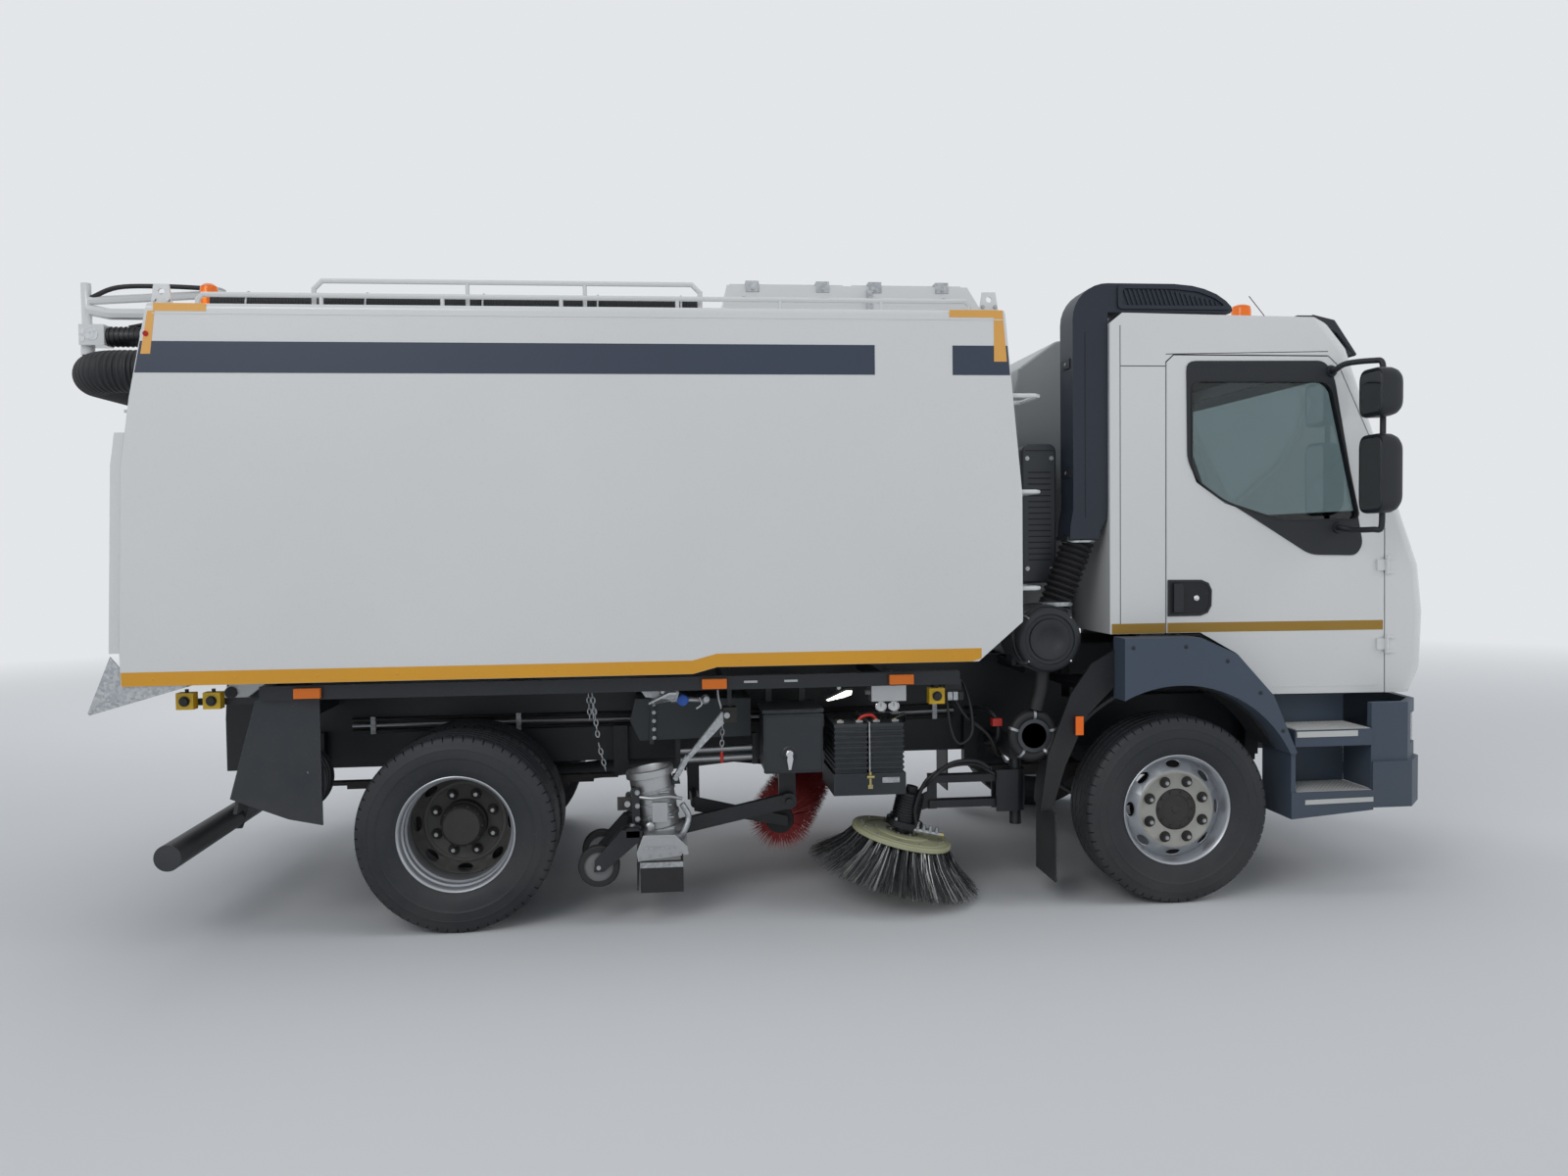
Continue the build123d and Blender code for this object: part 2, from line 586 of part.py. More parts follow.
# Cab body, hollow, with the doors' openings and the windscreen cut out
cab_side = [(cab_rear, 1252), (3440, 1252), (3620, 1150), (3745, 952), (4520, 945), (4572, 1060), (4585, 1330),
            (4560, 1560), (4510, 1700), (4185, 2600), (4110, 2690), (4000, 2735), (3060, cab_roof), (cab_rear, 2700)]
door_side = [(3275, 1252), (3440, 1252), (3620, 1150), (3745, 952), (4362, 947), (4358, 1731), (4275, 2180),
             (4125, 2500), (4070, 2550), (3310, 2552), (3275, 2520)]
window_side = [(3390, 2440), (4050, 2440), (4095, 2400), (4232, 1800), (4215, 1772), (3830, 1772), (3560, 1860),
               (3420, 1960), (3390, 2040)]


def screen_x(z):
    """Outer face of the windscreen at a height."""
    return 4510 - (z - 1700) * (4510 - 4185) / (2600 - 1700)


screen_low, screen_high, screen_half_width = 1760, 2530, 930
with BuildPart() as cab_shell:
    slab(cab_side, (-cab_half_width, cab_half_width))
    fillet(cab_shell.edges().filter_by(lambda edge: abs(abs(edge.center().Y) - cab_half_width) < 1
                                       and edge.center().X > ahead(4100) and edge.center().Z > 1000), 70)
    with BuildSketch(Plane.XZ.offset(-(cab_half_width - cab_wall))) as cab_void:
        with BuildLine():
            Polyline([(ahead(x), z) for x, z in cab_side], close=True)
        make_face()
        offset(amount=-cab_wall, kind=Kind.INTERSECTION, mode=Mode.REPLACE)
    extrude(cab_void.sketch, amount=2 * (cab_half_width - cab_wall), mode=Mode.SUBTRACT)
    # Engine tunnel, its walls put back first
    block((3400, 4440), (-tunnel_half_width - cab_wall, tunnel_half_width + cab_wall), (960, tunnel_top + cab_wall))
    block((2990, 4400), (-tunnel_half_width, tunnel_half_width), (900, tunnel_top), Mode.SUBTRACT)
    for side in (-1, 1):
        with BuildSketch(Plane.XZ.offset(-max(across(side, cab_half_width - cab_wall - door_gap, 1080)))) as hole:
            with BuildLine():
                Polyline([(ahead(x), z) for x, z in door_side], close=True)
            make_face()
            offset(amount=door_gap, kind=Kind.INTERSECTION, mode=Mode.REPLACE)
        extrude(hole.sketch, amount=1080 - (cab_half_width - cab_wall - door_gap), mode=Mode.SUBTRACT)
    slab([(screen_x(screen_low) + 60, screen_low), (screen_x(screen_high) + 60, screen_high),
          (screen_x(screen_high) - 90, screen_high), (screen_x(screen_low) - 90, screen_low)],
         (-screen_half_width, screen_half_width), Mode.SUBTRACT)
    # Ears of the tilting pivots
    for side in (-1, 1):
        slab([(4430, 960), (4510, 960), (4530, 930), (4530, 890), (4480, 890)], across(side, 358, 392))
        rod((cab_pivot_x, side * 350, cab_pivot_z), (cab_pivot_x, side * 396, cab_pivot_z),
            cab_pin_radius + shaft_gap, mode=Mode.SUBTRACT)
    # Hinge leaves and pins of the doors
    for side in (-1, 1):
        hinge_y = side * (cab_half_width + door_hinge_out)
        for z in door_hinge_z:
            rod((door_hinge_x, hinge_y, z - 42), (door_hinge_x, hinge_y, z + 42), door_pin_radius)
            for low in (z - 42, z + 27):
                rod((door_hinge_x, hinge_y, low), (door_hinge_x, hinge_y, low + 15), door_hinge_out)
                block((door_hinge_x, 4410), across(side, cab_half_width - 3, abs(hinge_y)), (low, low + 15))
cab_shell.part.label = "cab_shell"
export_step(cab_shell.part, "parts/cab_shell.step")

# Windscreen
with BuildPart() as windscreen:
    slab([(screen_x(screen_low) - glass_inset, screen_low), (screen_x(screen_high) - glass_inset, screen_high),
          (screen_x(screen_high) - glass_inset - glass_thickness, screen_high),
          (screen_x(screen_low) - glass_inset - glass_thickness, screen_low)],
         (-screen_half_width, screen_half_width))
windscreen.part.label = "windscreen"
export_step(windscreen.part, "parts/windscreen.step")

# Seats on their boxes
cab_floor = 1252 + cab_wall
with BuildPart() as seats:
    for side in (-1, 1):
        block((3400, 3860), across(side, 470, 880), (cab_floor, 1440))
        block((3380, 3860), across(side, 440, 910), (1440, 1560))
        slab([(3330, 1480), (3420, 1480), (3360, 2150), (3280, 2150)], across(side, 440, 910))
        slab([(3275, 2150), (3355, 2150), (3335, 2330), (3270, 2330)], across(side, 560, 790))
seats.part.label = "seats"
export_step(seats.part, "parts/seats.step")

# Dashboard with the steering column and wheel
with BuildPart() as dashboard:
    slab([(4240, 1400), (4230, 1600), (4300, 1660), (4460, 1640), (4500, 1400), (4400, 1290), (4300, 1290)],
         (-1000, 1000))
    rod((4260, 660, 1480), (4100, 660, 1715), 35)
    wheel_plane = Plane(origin=(ahead(4095), 660, 1725), z_dir=(-130, 0, 210))
    with BuildSketch(wheel_plane.offset(-13)) as wheel_outline:
        RegularPolygon(226, 20)
        RegularPolygon(200, 20, mode=Mode.SUBTRACT)
        Rectangle(410, 34)
        RegularPolygon(58, 12)
    extrude(wheel_outline.sketch, amount=26)
    block((4140, 4300), (-tunnel_half_width + 100, tunnel_half_width - 100), (tunnel_top + cab_wall, 1400))
dashboard.part.label = "dashboard"
export_step(dashboard.part, "parts/dashboard.step")

# Grille panel on the nose, with slats between its side frames
with BuildPart() as grille:
    nose = [(4572 + seat_gap, 1060), (4585 + seat_gap, 1330), (4560 + seat_gap, 1560)]
    front = [(4605, 1545), (4635, 1330), (4625, 1040), (4600, 1020)]
    slab(nose + front, (-920, 920))
    for row in range(4):
        low = 1095 + 100 * row
        block((4590, 4700), (-760, 760), (low, low + 62), Mode.SUBTRACT)
    for side in (-1, 1):
        for row in range(4):
            low = 1085 + 100 * row
            block((4596, 4630), across(side, 880, 940), (low, low + 60), Mode.SUBTRACT)
grille.part.label = "grille"
export_step(grille.part, "parts/grille.step")

# Sun visor above the windscreen
with BuildPart() as sun_visor:
    slab([(4110.2, 2690.3), (4000.2, 2735.3), (4030, 2760), (4140, 2735), (4255, 2570), (4240, 2560), (4150, 2670)],
         (-1000, 1000))
sun_visor.part.label = "sun_visor"
export_step(sun_visor.part, "parts/sun_visor.step")

# Intake stack up the back of the cab and forward over its roof
with BuildPart() as intake_stack:
    slab([(2845, 1552), (2830, 1700), (2830, 2760), (2870, 2850), (2960, 2888), (3320, 2888), (3500, 2850),
          (3610, 2775), (3610, 2752), (cab_rear - seat_gap, 2752), (cab_rear - seat_gap, 1620), (2985, 1552)],
         (-1050, -860))
    # Louvres in its outer side
    for row in range(12):
        x = 3075 + 38 * row
        slab([(x, 2780), (x + 14, 2780), (x - 16, 2862), (x - 30, 2862)], (-1052, -1040), Mode.SUBTRACT)
intake_stack.part.label = "intake_stack"
export_step(intake_stack.part, "parts/intake_stack.step")

# Beacon on the cab's roof
with BuildPart() as cab_beacon:
    rod((3690, -760, 2740.4), (3690, -760, 2765), 62)
    rod((3690, -760, 2765), (3690, -760, 2850), 52, 46)
cab_beacon.part.label = "cab_beacon"
export_step(cab_beacon.part, "parts/cab_beacon.step")

# Doors, their glass and their mirrors
for side, hand in ((-1, "right"), (1, "left")):
    door_y = across(side, cab_half_width - cab_wall, cab_half_width)
    with BuildPart() as door:
        slab(door_side, door_y)
        slab(window_side, door_y, Mode.SUBTRACT)
        # Recess of the handle
        block((3290, 3430), across(side, cab_half_width - 25, cab_half_width + 5), (1360, 1480), Mode.SUBTRACT)
        block((3300, 3420), across(side, cab_half_width - 25, cab_half_width - 8), (1400, 1425))
        for z in door_hinge_z:
            hinge_y = side * (cab_half_width + door_hinge_out)
            rod((door_hinge_x, hinge_y, z - 26.7), (door_hinge_x, hinge_y, z + 26.7), door_hinge_out)
            block((4320, 4355), across(side, cab_half_width - 3, abs(hinge_y)), (z - 26.7, z + 26.7))
            block((4350, door_hinge_x), across(side, cab_half_width + 0.5, abs(hinge_y)), (z - 26.7, z + 26.7))
            rod((door_hinge_x, hinge_y, z - 30), (door_hinge_x, hinge_y, z + 30), door_pin_radius + shaft_gap,
                mode=Mode.SUBTRACT)
    door.part.label = f"door_{hand}"
    export_step(door.part, f"parts/door_{hand}.step")
    with BuildPart() as door_glass:
        slab(window_side, across(side, cab_half_width - glass_inset - glass_thickness, cab_half_width - glass_inset))
    door_glass.part.label = f"door_glass_{hand}"
    export_step(door_glass.part, f"parts/door_glass_{hand}.step")
    with BuildPart() as mirror:
        for low, high in ((2240, 2465), (1800, 2165)):
            block((4150, 4265), across(side, 1180, 1370), (low, high))
        bar([(4085, side * (cab_half_width + seat_gap), 2480), (4085, side * 1100, 2480), (4200, side * 1255, 2500),
             (4215, side * 1270, 2490), (4215, side * 1270, 2400)], 14)
        bar([(4120, side * (cab_half_width + seat_gap), 1740), (4120, side * 1100, 1740), (4200, side * 1255, 1738),
             (4215, side * 1270, 1755), (4215, side * 1270, 1850)], 14)
        prism((4215, side * 1270, 2160), (4215, side * 1270, 2245), 14, 8)
    mirror.part.label = f"mirror_{hand}"
    export_step(mirror.part, f"parts/mirror_{hand}.step")

# Hopper: plate sides between a slanted back and a bevelled front, open at the back
hopper_side = [(-1182, hopper_top), (-1262, 2328), (-1303, 2046), (-1332, 1267), (-1329, hopper_bottom_rear),
               (1043, hopper_bottom_rear), (1149, hopper_bottom_front), (2319, hopper_bottom_front), (2522, 1332),
               (2522, 1900), (2445, hopper_top)]


def hopper_back(z):
    """Outer face of the hopper's slanted back at a height above the tailgate."""
    return -1262 + (z - 2328) * (1262 - 1182) / (hopper_top - 2328)


def hopper_front(z):
    """Outer face of the hopper's front wall at a height."""
    return 2522 - max(0, z - 1900) * (2522 - 2445) / (hopper_top - 1900)


with BuildPart() as hopper_shell:
    slab(hopper_side, (-hopper_half_width, hopper_half_width))
    fillet(hopper_shell.edges().filter_by(lambda edge: edge.center().Z > hopper_top - 1
                                          and abs(edge.center().Y) > 10), 25)
    with BuildSketch(Plane.XZ.offset(-(hopper_half_width - hopper_wall))) as void:
        with BuildLine():
            Polyline([(ahead(x), z) for x, z in hopper_side], close=True)
        make_face()
        offset(amount=-hopper_wall, kind=Kind.INTERSECTION, mode=Mode.REPLACE)
    extrude(void.sketch, amount=2 * (hopper_half_width - hopper_wall), mode=Mode.SUBTRACT)
    # Mouth at the back, which the tailgate covers
    block((-1400, -1220), (-1150, 1150), (tailgate_bottom + 30, tailgate_top - 45), Mode.SUBTRACT)
    # Port of the wander hose
    rod((-1215, hose_port_y, hose_port_z), (hose_port_x, hose_port_y, hose_port_z), hose_radius + 10)
    # Raised hatch box on the roof
    slab([(1195, hopper_top - 5), (1225, hatch_top), (2330, hatch_top), (2420, hopper_top - 5)], (-1040, 1040))
    # Bearers on the subframe, lugs of the tipping pivot and of the cylinder
    for side in (-1, 1):
        block((-900, 1100), across(side, beam_inner_y, rail_outer_y),
              (subframe_top + seat_gap, hopper_bottom_rear + 5))
        block((1100, 2250), across(side, beam_inner_y, rail_outer_y),
              (subframe_top + seat_gap, hopper_bottom_front + 5))
        slab([(-1040, 1135), (-880, 1135), (-1100, 965), (-1170, 960), (-1200, 1000), (-1160, 1045)],
             across(side, 445, 490))
        rod((tip_pivot_x, side * 440, tip_pivot_z), (tip_pivot_x, side * 495, tip_pivot_z),
            tip_pin_radius + shaft_gap, mode=Mode.SUBTRACT)
        slab([(1120, 1162), (1280, 1162), (1235, 1050), (1165, 1050)], across(side, 52, 76))
        # Hinge ears of the tailgate
        slab([(-1270, 2200), (-1290, 2290), (-1350, 2260), (-1375, 2225), (-1365, 2200)], across(side, 700, 730))
        rod((-1350, side * 690, 2228), (-1350, side * 760, 2228), tailgate_pin_radius)
hopper_shell.part.label = "hopper_shell"
export_step(hopper_shell.part, "parts/hopper_shell.step")

# Handrails, rungs and lifting eyes of the hopper
with BuildPart() as hopper_rails:
    for side in (-1, 1):
        bar([(-540, side * 1150, hopper_top + seat_gap), (-540, side * 1150, 2800), (-505, side * 1150, 2835),
             (1065, side * 1150, 2835), (1100, side * 1150, 2800), (1100, side * 1150, hopper_top + seat_gap)], 11)
        bar([(-1000, side * 1190, hopper_top + seat_gap), (-1000, side * 1190, 2745), (-980, side * 1190, 2765),
             (2280, side * 1190, 2765), (2300, side * 1190, 2745), (2300, side * 1190, hopper_top + seat_gap)], 11)
        for place in (-500, 0, 500, 1000, 1450, 1900):
            prism((place, side * 1190, hopper_top + seat_gap), (place, side * 1190, 2765), 9)
        for place in (100, 600):
            prism((place, side * 1150, hopper_top + seat_gap), (place, side * 1150, 2835), 9)
        for place in (-1132, 2380):
            slab([(place - 42, hopper_top + seat_gap), (place + 42, hopper_top + seat_gap), (place + 30, 2800),
                  (place - 30, 2800)], across(side, 1212, 1224))
            rod((place, side * 1205, 2768), (place, side * 1230, 2768), 13, mode=Mode.SUBTRACT)
    # Ladder rungs on the front wall
    for z in (1480, 1915, 2345):
        x = hopper_front(z - 10) + seat_gap
        bar([(x, -1210, z), (2595, -1210, z), (2612, -1193, z), (2612, -947, z), (2595, -930, z), (x, -930, z)], 10)
    # Cradles of the wander hose at the back
    shelf = hose_port_z - hose_radius - 15 - seat_gap
    for y in (-250, 420):
        slab([(hopper_back(2560) - seat_gap, 2560), (hopper_back(shelf) - seat_gap, shelf), (-1700, shelf),
              (-1700, shelf + 15), (-1275, shelf + 15), (hopper_back(2560) - 12, 2560)], (y, y + 40))
hopper_rails.part.label = "hopper_rails"
export_step(hopper_rails.part, "parts/hopper_rails.step")

# Wander hose: from its port across the back, ending in a suction tube, with a spare length on the roof
with BuildPart() as wander_hose:
    bent_tube([(hose_port_x - seat_gap, hose_port_y, hose_port_z), (-1605, hose_port_y, hose_port_z),
               (-1605, 480, hose_port_z)], 190, hose_radius)
    rod((-1605, 479, hose_port_z), (-1605, 940, hose_port_z), 80)
    spare_z = hopper_top + seat_gap + 44
    bent_tube([(-1000, -1010, spare_z), (200, -1010, spare_z), (1100, -1000, spare_z)], 500, 44)
wander_hose.part.label = "wander_hose"
export_step(wander_hose.part, "parts/wander_hose.step")

# Galvanised spill chute under the back edge
with BuildPart() as spill_chute:
    slab([(-1073, 1129.7), (-1329, 1129.7), (-1332, 1200), (-1375, 1255), (-1470, 1022), (-1455, 1015)], (-1235, -1229))
    slab([(-1073, 1129.7), (-1329, 1129.7), (-1332, 1200), (-1375, 1255), (-1470, 1022), (-1455, 1015)], (1229, 1235))
    slab([(-1073, 1129.7), (-1073, 1122), (-1462, 1012), (-1470, 1020), (-1110, 1129.7)], (-1235, 1235))
spill_chute.part.label = "spill_chute"
export_step(spill_chute.part, "parts/spill_chute.step")

# Tailgate, hung from its top edge
with BuildPart() as tailgate:
    inner = [(-1289, tailgate_top), (-1309, 2046), (-1338, tailgate_bottom)]
    slab(inner + [(x - tailgate_thickness, z) for x, z in reversed(inner)], (-1235, 1235))
    for y in (-800, -300, 300, 800):
        slab([(-1330, 2150), (-1380, 2120), (-1405, 1320), (-1370, 1290)], (y - 35, y + 35))
    for side in (-1, 1):
        slab([(-1305, tailgate_top - 10), (-1325, 2240), (-1350, 2250), (-1375, 2228), (-1360, tailgate_top - 10)],
             across(side, 733, 757))
        rod((-1350, side * 725, 2228), (-1350, side * 765, 2228), tailgate_pin_radius + shaft_gap, mode=Mode.SUBTRACT)
tailgate.part.label = "tailgate"
export_step(tailgate.part, "parts/tailgate.step")

# Swivelling boom with its winch
with BuildPart() as boom:
    rod((*boom_pivot, 2760), (*boom_pivot, 2900), 42)
    bar([(-1130, -600, 2790), (-1600, -600, 2790), (-1700, -600, 2810)], 26)
    prism((-1130, -600, 2885), (-1690, -600, 2850), 20, 8)
    rod((-1703, -600, 2673), (-1703, -600, 2929), 22)
    block((-1720, -1610), (-650, -550), (2640, 2735))
    rod((-1610, -600, 2685), (-1450, -600, 2685), 42)
    rod((-1703, -600, 2600), (-1703, -600, 2640), 30)
    rod((*boom_pivot, 2700), (*boom_pivot, 2870), boom_pin_radius + shaft_gap, mode=Mode.SUBTRACT)
boom.part.label = "boom"
export_step(boom.part, "parts/boom.step")

# Post of the boom on the hopper's roof
with BuildPart() as boom_post:
    rod((*boom_pivot, 2740), (*boom_pivot, 2865), boom_pin_radius)
    rod((*boom_pivot, hopper_top + seat_gap), (*boom_pivot, 2758), 60)
boom_post.part.label = "boom_post"
export_step(boom_post.part, "parts/boom_post.step")

# Tipping cylinder
cylinder_length = hypot(cylinder_eye[0] - cylinder_foot[0], cylinder_eye[1] - cylinder_foot[1])
slope_x = (cylinder_eye[0] - cylinder_foot[0]) / cylinder_length
slope_z = (cylinder_eye[1] - cylinder_foot[1]) / cylinder_length


def along_cylinder(distance, y=0):
    """Point on the cylinder's axis, at a distance from its foot."""
    return (cylinder_foot[0] + distance * slope_x, y, cylinder_foot[1] + distance * slope_z)


with BuildPart() as tip_barrel:
    rod(along_cylinder(0, -70), along_cylinder(0, 70), 52)
    rod(along_cylinder(20), along_cylinder(1430), barrel_radius)
    rod(along_cylinder(560), along_cylinder(1440), piston_rod_radius + shaft_gap, mode=Mode.SUBTRACT)
    rod(along_cylinder(0, -75), along_cylinder(0, 75), trunnion_radius + shaft_gap, mode=Mode.SUBTRACT)
tip_barrel.part.label = "tip_barrel"
export_step(tip_barrel.part, "parts/tip_barrel.step")

with BuildPart() as tip_rod:
    rod(along_cylinder(600), along_cylinder(cylinder_length - 20), piston_rod_radius)
    rod(along_cylinder(cylinder_length, -40), along_cylinder(cylinder_length, 40), 42)
tip_rod.part.label = "tip_rod"
export_step(tip_rod.part, "parts/tip_rod.step")

# Side brush: swinging bracket, two parallel links, head with its motor
with BuildPart() as brush_bracket:
    rod((*brush_post, 400), (*brush_post, 600), 44)
    for y0, y1 in ((-912, -897), (-823, -808)):
        slab([(2600, 400), (2600, 600), (link_front_x - 25, 600), (link_front_x - 25, 400)], (y0, y1))
    for z in (link_upper_z, link_lower_z):
        rod((link_front_x, -912, z), (link_front_x, -808, z), link_pin_radius)
    rod((*brush_post, 320), (*brush_post, 640), brush_post_radius + shaft_gap, mode=Mode.SUBTRACT)
brush_bracket.part.label = "brush_bracket"
export_step(brush_bracket.part, "parts/brush_bracket.step")

for name, z in (("brush_upper_link", link_upper_z), ("brush_lower_link", link_lower_z)):
    with BuildPart() as link:
        for y0, y1 in ((-888, -876), (-844, -832)):
            slab([(link_rear_x - 18, z - 18), (link_rear_x - 18, z + 18), (link_front_x + 18, z + 18),
                  (link_front_x + 18, z - 18)], (y0, y1))
        slab([(link_rear_x + 60, z - 8), (link_rear_x + 60, z + 8), (link_front_x - 60, z + 8),
              (link_front_x - 60, z - 8)], (-876, -844))
        for x in (link_rear_x, link_front_x):
            rod((x, -890, z), (x, -830, z), link_pin_radius + shaft_gap, mode=Mode.SUBTRACT)
    link.part.label = name
    export_step(link.part, f"parts/{name}.step")

brush_axis = Vector(sin(radians(brush_tilt)), -0.05, cos(radians(brush_tilt))).normalized()
disc_centre = Vector(brush_x, brush_y, brush_disc_z)


def on_brush_axis(height):
    """Point on the brush's spindle, at a height above the middle of its disc."""
    return tuple(disc_centre + brush_axis * height)


with BuildPart() as brush_head:
    slab([(link_rear_x - 22, link_lower_z - 25), (link_rear_x - 22, link_upper_z + 25),
          (link_rear_x + 22, link_upper_z + 25), (link_rear_x + 22, link_lower_z - 25)], (-871, -849))
    slab([(2060, 395), (2060, 450), (link_rear_x - 15, 500), (link_rear_x - 15, 420)], (-871, -849))
    for z in (link_upper_z, link_lower_z):
        rod((link_rear_x, -888, z), (link_rear_x, -832, z), link_pin_radius)
    rod(on_brush_axis(45), on_brush_axis(210), 62)
    rod(on_brush_axis(45), on_brush_axis(75), 88)
    rod(on_brush_axis(12), on_brush_axis(60), brush_shaft_radius)
    rod(on_brush_axis(205), on_brush_axis(240), 28)
brush_head.part.label = "brush_head"
export_step(brush_head.part, "parts/brush_head.step")

with BuildPart() as side_brush:
    brush_plane = Plane(origin=Vector(ahead(0), 0, 0) + Vector(*on_brush_axis(0)), z_dir=brush_axis)
    with Locations(brush_plane.location):
        Cylinder(brush_disc_radius, 24)
        Cylinder(34, brush_boss_height, align=(Align.CENTER, Align.CENTER, Align.MIN))
    with Locations(brush_plane.offset(10).location):
        Cylinder(brush_shaft_radius + shaft_gap, 60, align=(Align.CENTER, Align.CENTER, Align.MIN),
                 mode=Mode.SUBTRACT)
    # Flared ring of bristle tufts
    tufts = 30
    with BuildSketch(Plane(origin=brush_plane.origin, x_dir=brush_plane.x_dir, z_dir=brush_plane.y_dir)) as bristles:
        with BuildLine():
            Polyline((brush_disc_radius - 42, 6), (brush_disc_radius - 10, 6), (brush_reach, brush_drop),
                     (brush_reach - 62, brush_drop), close=True)
        make_face()
    tuft = extrude(bristles.sketch, amount=18, both=True, mode=Mode.PRIVATE)
    for place in range(tufts):
        add(tuft.rotate(Axis(brush_plane.origin, brush_plane.z_dir), 360 / tufts * place))
side_brush.part.label = "side_brush"
export_step(side_brush.part, "parts/side_brush.step")

# Suction nozzle on its trailing arm
with BuildPart() as suction_nozzle:
    slab([(790, 290), (1015, 315), (1010, 350), (940, 420), (830, 420), (785, 330)], (nozzle_y - 200, nozzle_y + 200))
    rod((885, nozzle_y, 400), (845, nozzle_y, 655), 98)
    rod((848, nozzle_y, 640), (843, nozzle_y, 672), 110)
    rod((862, nozzle_y, 550), (840, nozzle_y, 690), 88, mode=Mode.SUBTRACT)
    block((800, 990), (nozzle_y - 205, nozzle_y - 199), (150, 300))
    block((985, 991), (nozzle_y - 200, nozzle_y + 200), (160, 330))
    block((785, 791), (nozzle_y - 200, nozzle_y + 200), (160, 330))
    # Trailing arm and its eye
    slab([(990, 330), (990, 400), (nozzle_pivot[0], nozzle_pivot[1] + 35), (nozzle_pivot[0], nozzle_pivot[1] - 35)],
         (-845, -805))
    rod((nozzle_pivot[0], -850, nozzle_pivot[1]), (nozzle_pivot[0], -800, nozzle_pivot[1]), 38)
    rod((nozzle_pivot[0], -860, nozzle_pivot[1]), (nozzle_pivot[0], -790, nozzle_pivot[1]), 16 + shaft_gap,
        mode=Mode.SUBTRACT)
    # Forks of the castors
    for y in (nozzle_y - 190, nozzle_y - 120, nozzle_y + 112, nozzle_y + 182):
        slab([(castor_x - 22, castor_z - 20), (castor_x + 22, castor_z - 20), (800, 380), (800, 440), (720, 430)],
             (y, y + 8))
    block((740, 830), (nozzle_y - 190, nozzle_y + 190), (395, 425))
    rod((castor_x, nozzle_y - 195, castor_z), (castor_x, nozzle_y + 195, castor_z), 10)
suction_nozzle.part.label = "suction_nozzle"
export_step(suction_nozzle.part, "parts/suction_nozzle.step")

with BuildPart() as castors:
    for y in (nozzle_y - 151, nozzle_y + 151):
        rod((castor_x, y - 22, castor_z), (castor_x, y + 22, castor_z), castor_radius)
        rod((castor_x, y - 27, castor_z), (castor_x, y + 27, castor_z), 30)
    rod((castor_x, nozzle_y - 200, castor_z), (castor_x, nozzle_y + 200, castor_z), 10 + shaft_gap,
        mode=Mode.SUBTRACT)
castors.part.label = "castors"
export_step(castors.part, "parts/castors.step")

# Channel brush and the frame that carries it
channel_way = (Vector(*channel_left) - Vector(*channel_right)).normalized()


def on_channel(distance, end):
    """Point on the channel brush's axis, at a distance beyond one of its ends."""
    start, way = (Vector(*channel_right), channel_way * -1) if end < 0 else (Vector(*channel_left), channel_way)
    return tuple(start + way * distance)


with BuildPart() as channel_frame:
    rod((channel_pivot[0], channel_arm_y[0], channel_pivot[1]),
        (channel_pivot[0], channel_arm_y[1], channel_pivot[1]), channel_tube_radius)
    for end, arm_y, brush_end in ((-1, channel_arm_y[0], channel_right), (1, channel_arm_y[1], channel_left)):
        slab([(channel_pivot[0] - 5, channel_pivot[1] - 35), (channel_pivot[0] - 5, channel_pivot[1] + 35),
              (brush_end[0] + 40, brush_end[2] + 25), (brush_end[0] + 40, brush_end[2] - 25)],
             (arm_y - 8, arm_y + 8))
        # Stub shaft that the brush turns on
        reach = abs(arm_y - brush_end[1])
        rod(on_channel(-30, end), on_channel(reach, end), channel_shaft_radius)
channel_frame.part.label = "channel_frame"
export_step(channel_frame.part, "parts/channel_frame.step")

with BuildPart() as channel_brush:
    rod(on_channel(-10, -1), on_channel(-10, 1), 70)
    # Rings of bristles
    rings = 5
    length = (Vector(*channel_left) - Vector(*channel_right)).length - 20
    for ring in range(rings):
        start = 10 + length / rings * ring
        rod(tuple(Vector(*channel_right) + channel_way * start),
            tuple(Vector(*channel_right) + channel_way * (start + length / rings - 30)), channel_radius)
    for end in (-1, 1):
        rod(on_channel(5, end), on_channel(-40, end), channel_shaft_radius + shaft_gap, mode=Mode.SUBTRACT)
channel_brush.part.label = "channel_brush"
export_step(channel_brush.part, "parts/channel_brush.step")
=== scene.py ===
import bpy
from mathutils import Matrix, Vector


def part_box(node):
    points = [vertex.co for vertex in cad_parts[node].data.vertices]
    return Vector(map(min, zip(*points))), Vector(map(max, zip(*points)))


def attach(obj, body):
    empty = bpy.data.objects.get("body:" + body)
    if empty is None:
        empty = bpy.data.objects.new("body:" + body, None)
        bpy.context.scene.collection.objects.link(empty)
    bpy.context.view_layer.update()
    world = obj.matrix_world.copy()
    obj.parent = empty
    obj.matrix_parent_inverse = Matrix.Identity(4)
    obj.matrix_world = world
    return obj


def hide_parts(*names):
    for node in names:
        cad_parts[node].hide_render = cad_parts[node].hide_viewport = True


bl_info = {
    "name": "Road sweeper truck",
    "version": (1, 0, 0),
    "blender": (4, 5, 0),
    "location": "View3D > Sidebar > Sweeper",
    "description": "Finishes and fine pieces of a truck-mounted road sweeper, built around its packed frame",
    "category": "Object",
}

import random
from functools import partial
from math import cos, pi, radians, sin

import bmesh
import bpy
from bpy.props import FloatProperty, FloatVectorProperty, IntProperty, PointerProperty
from mathutils import Matrix, Vector

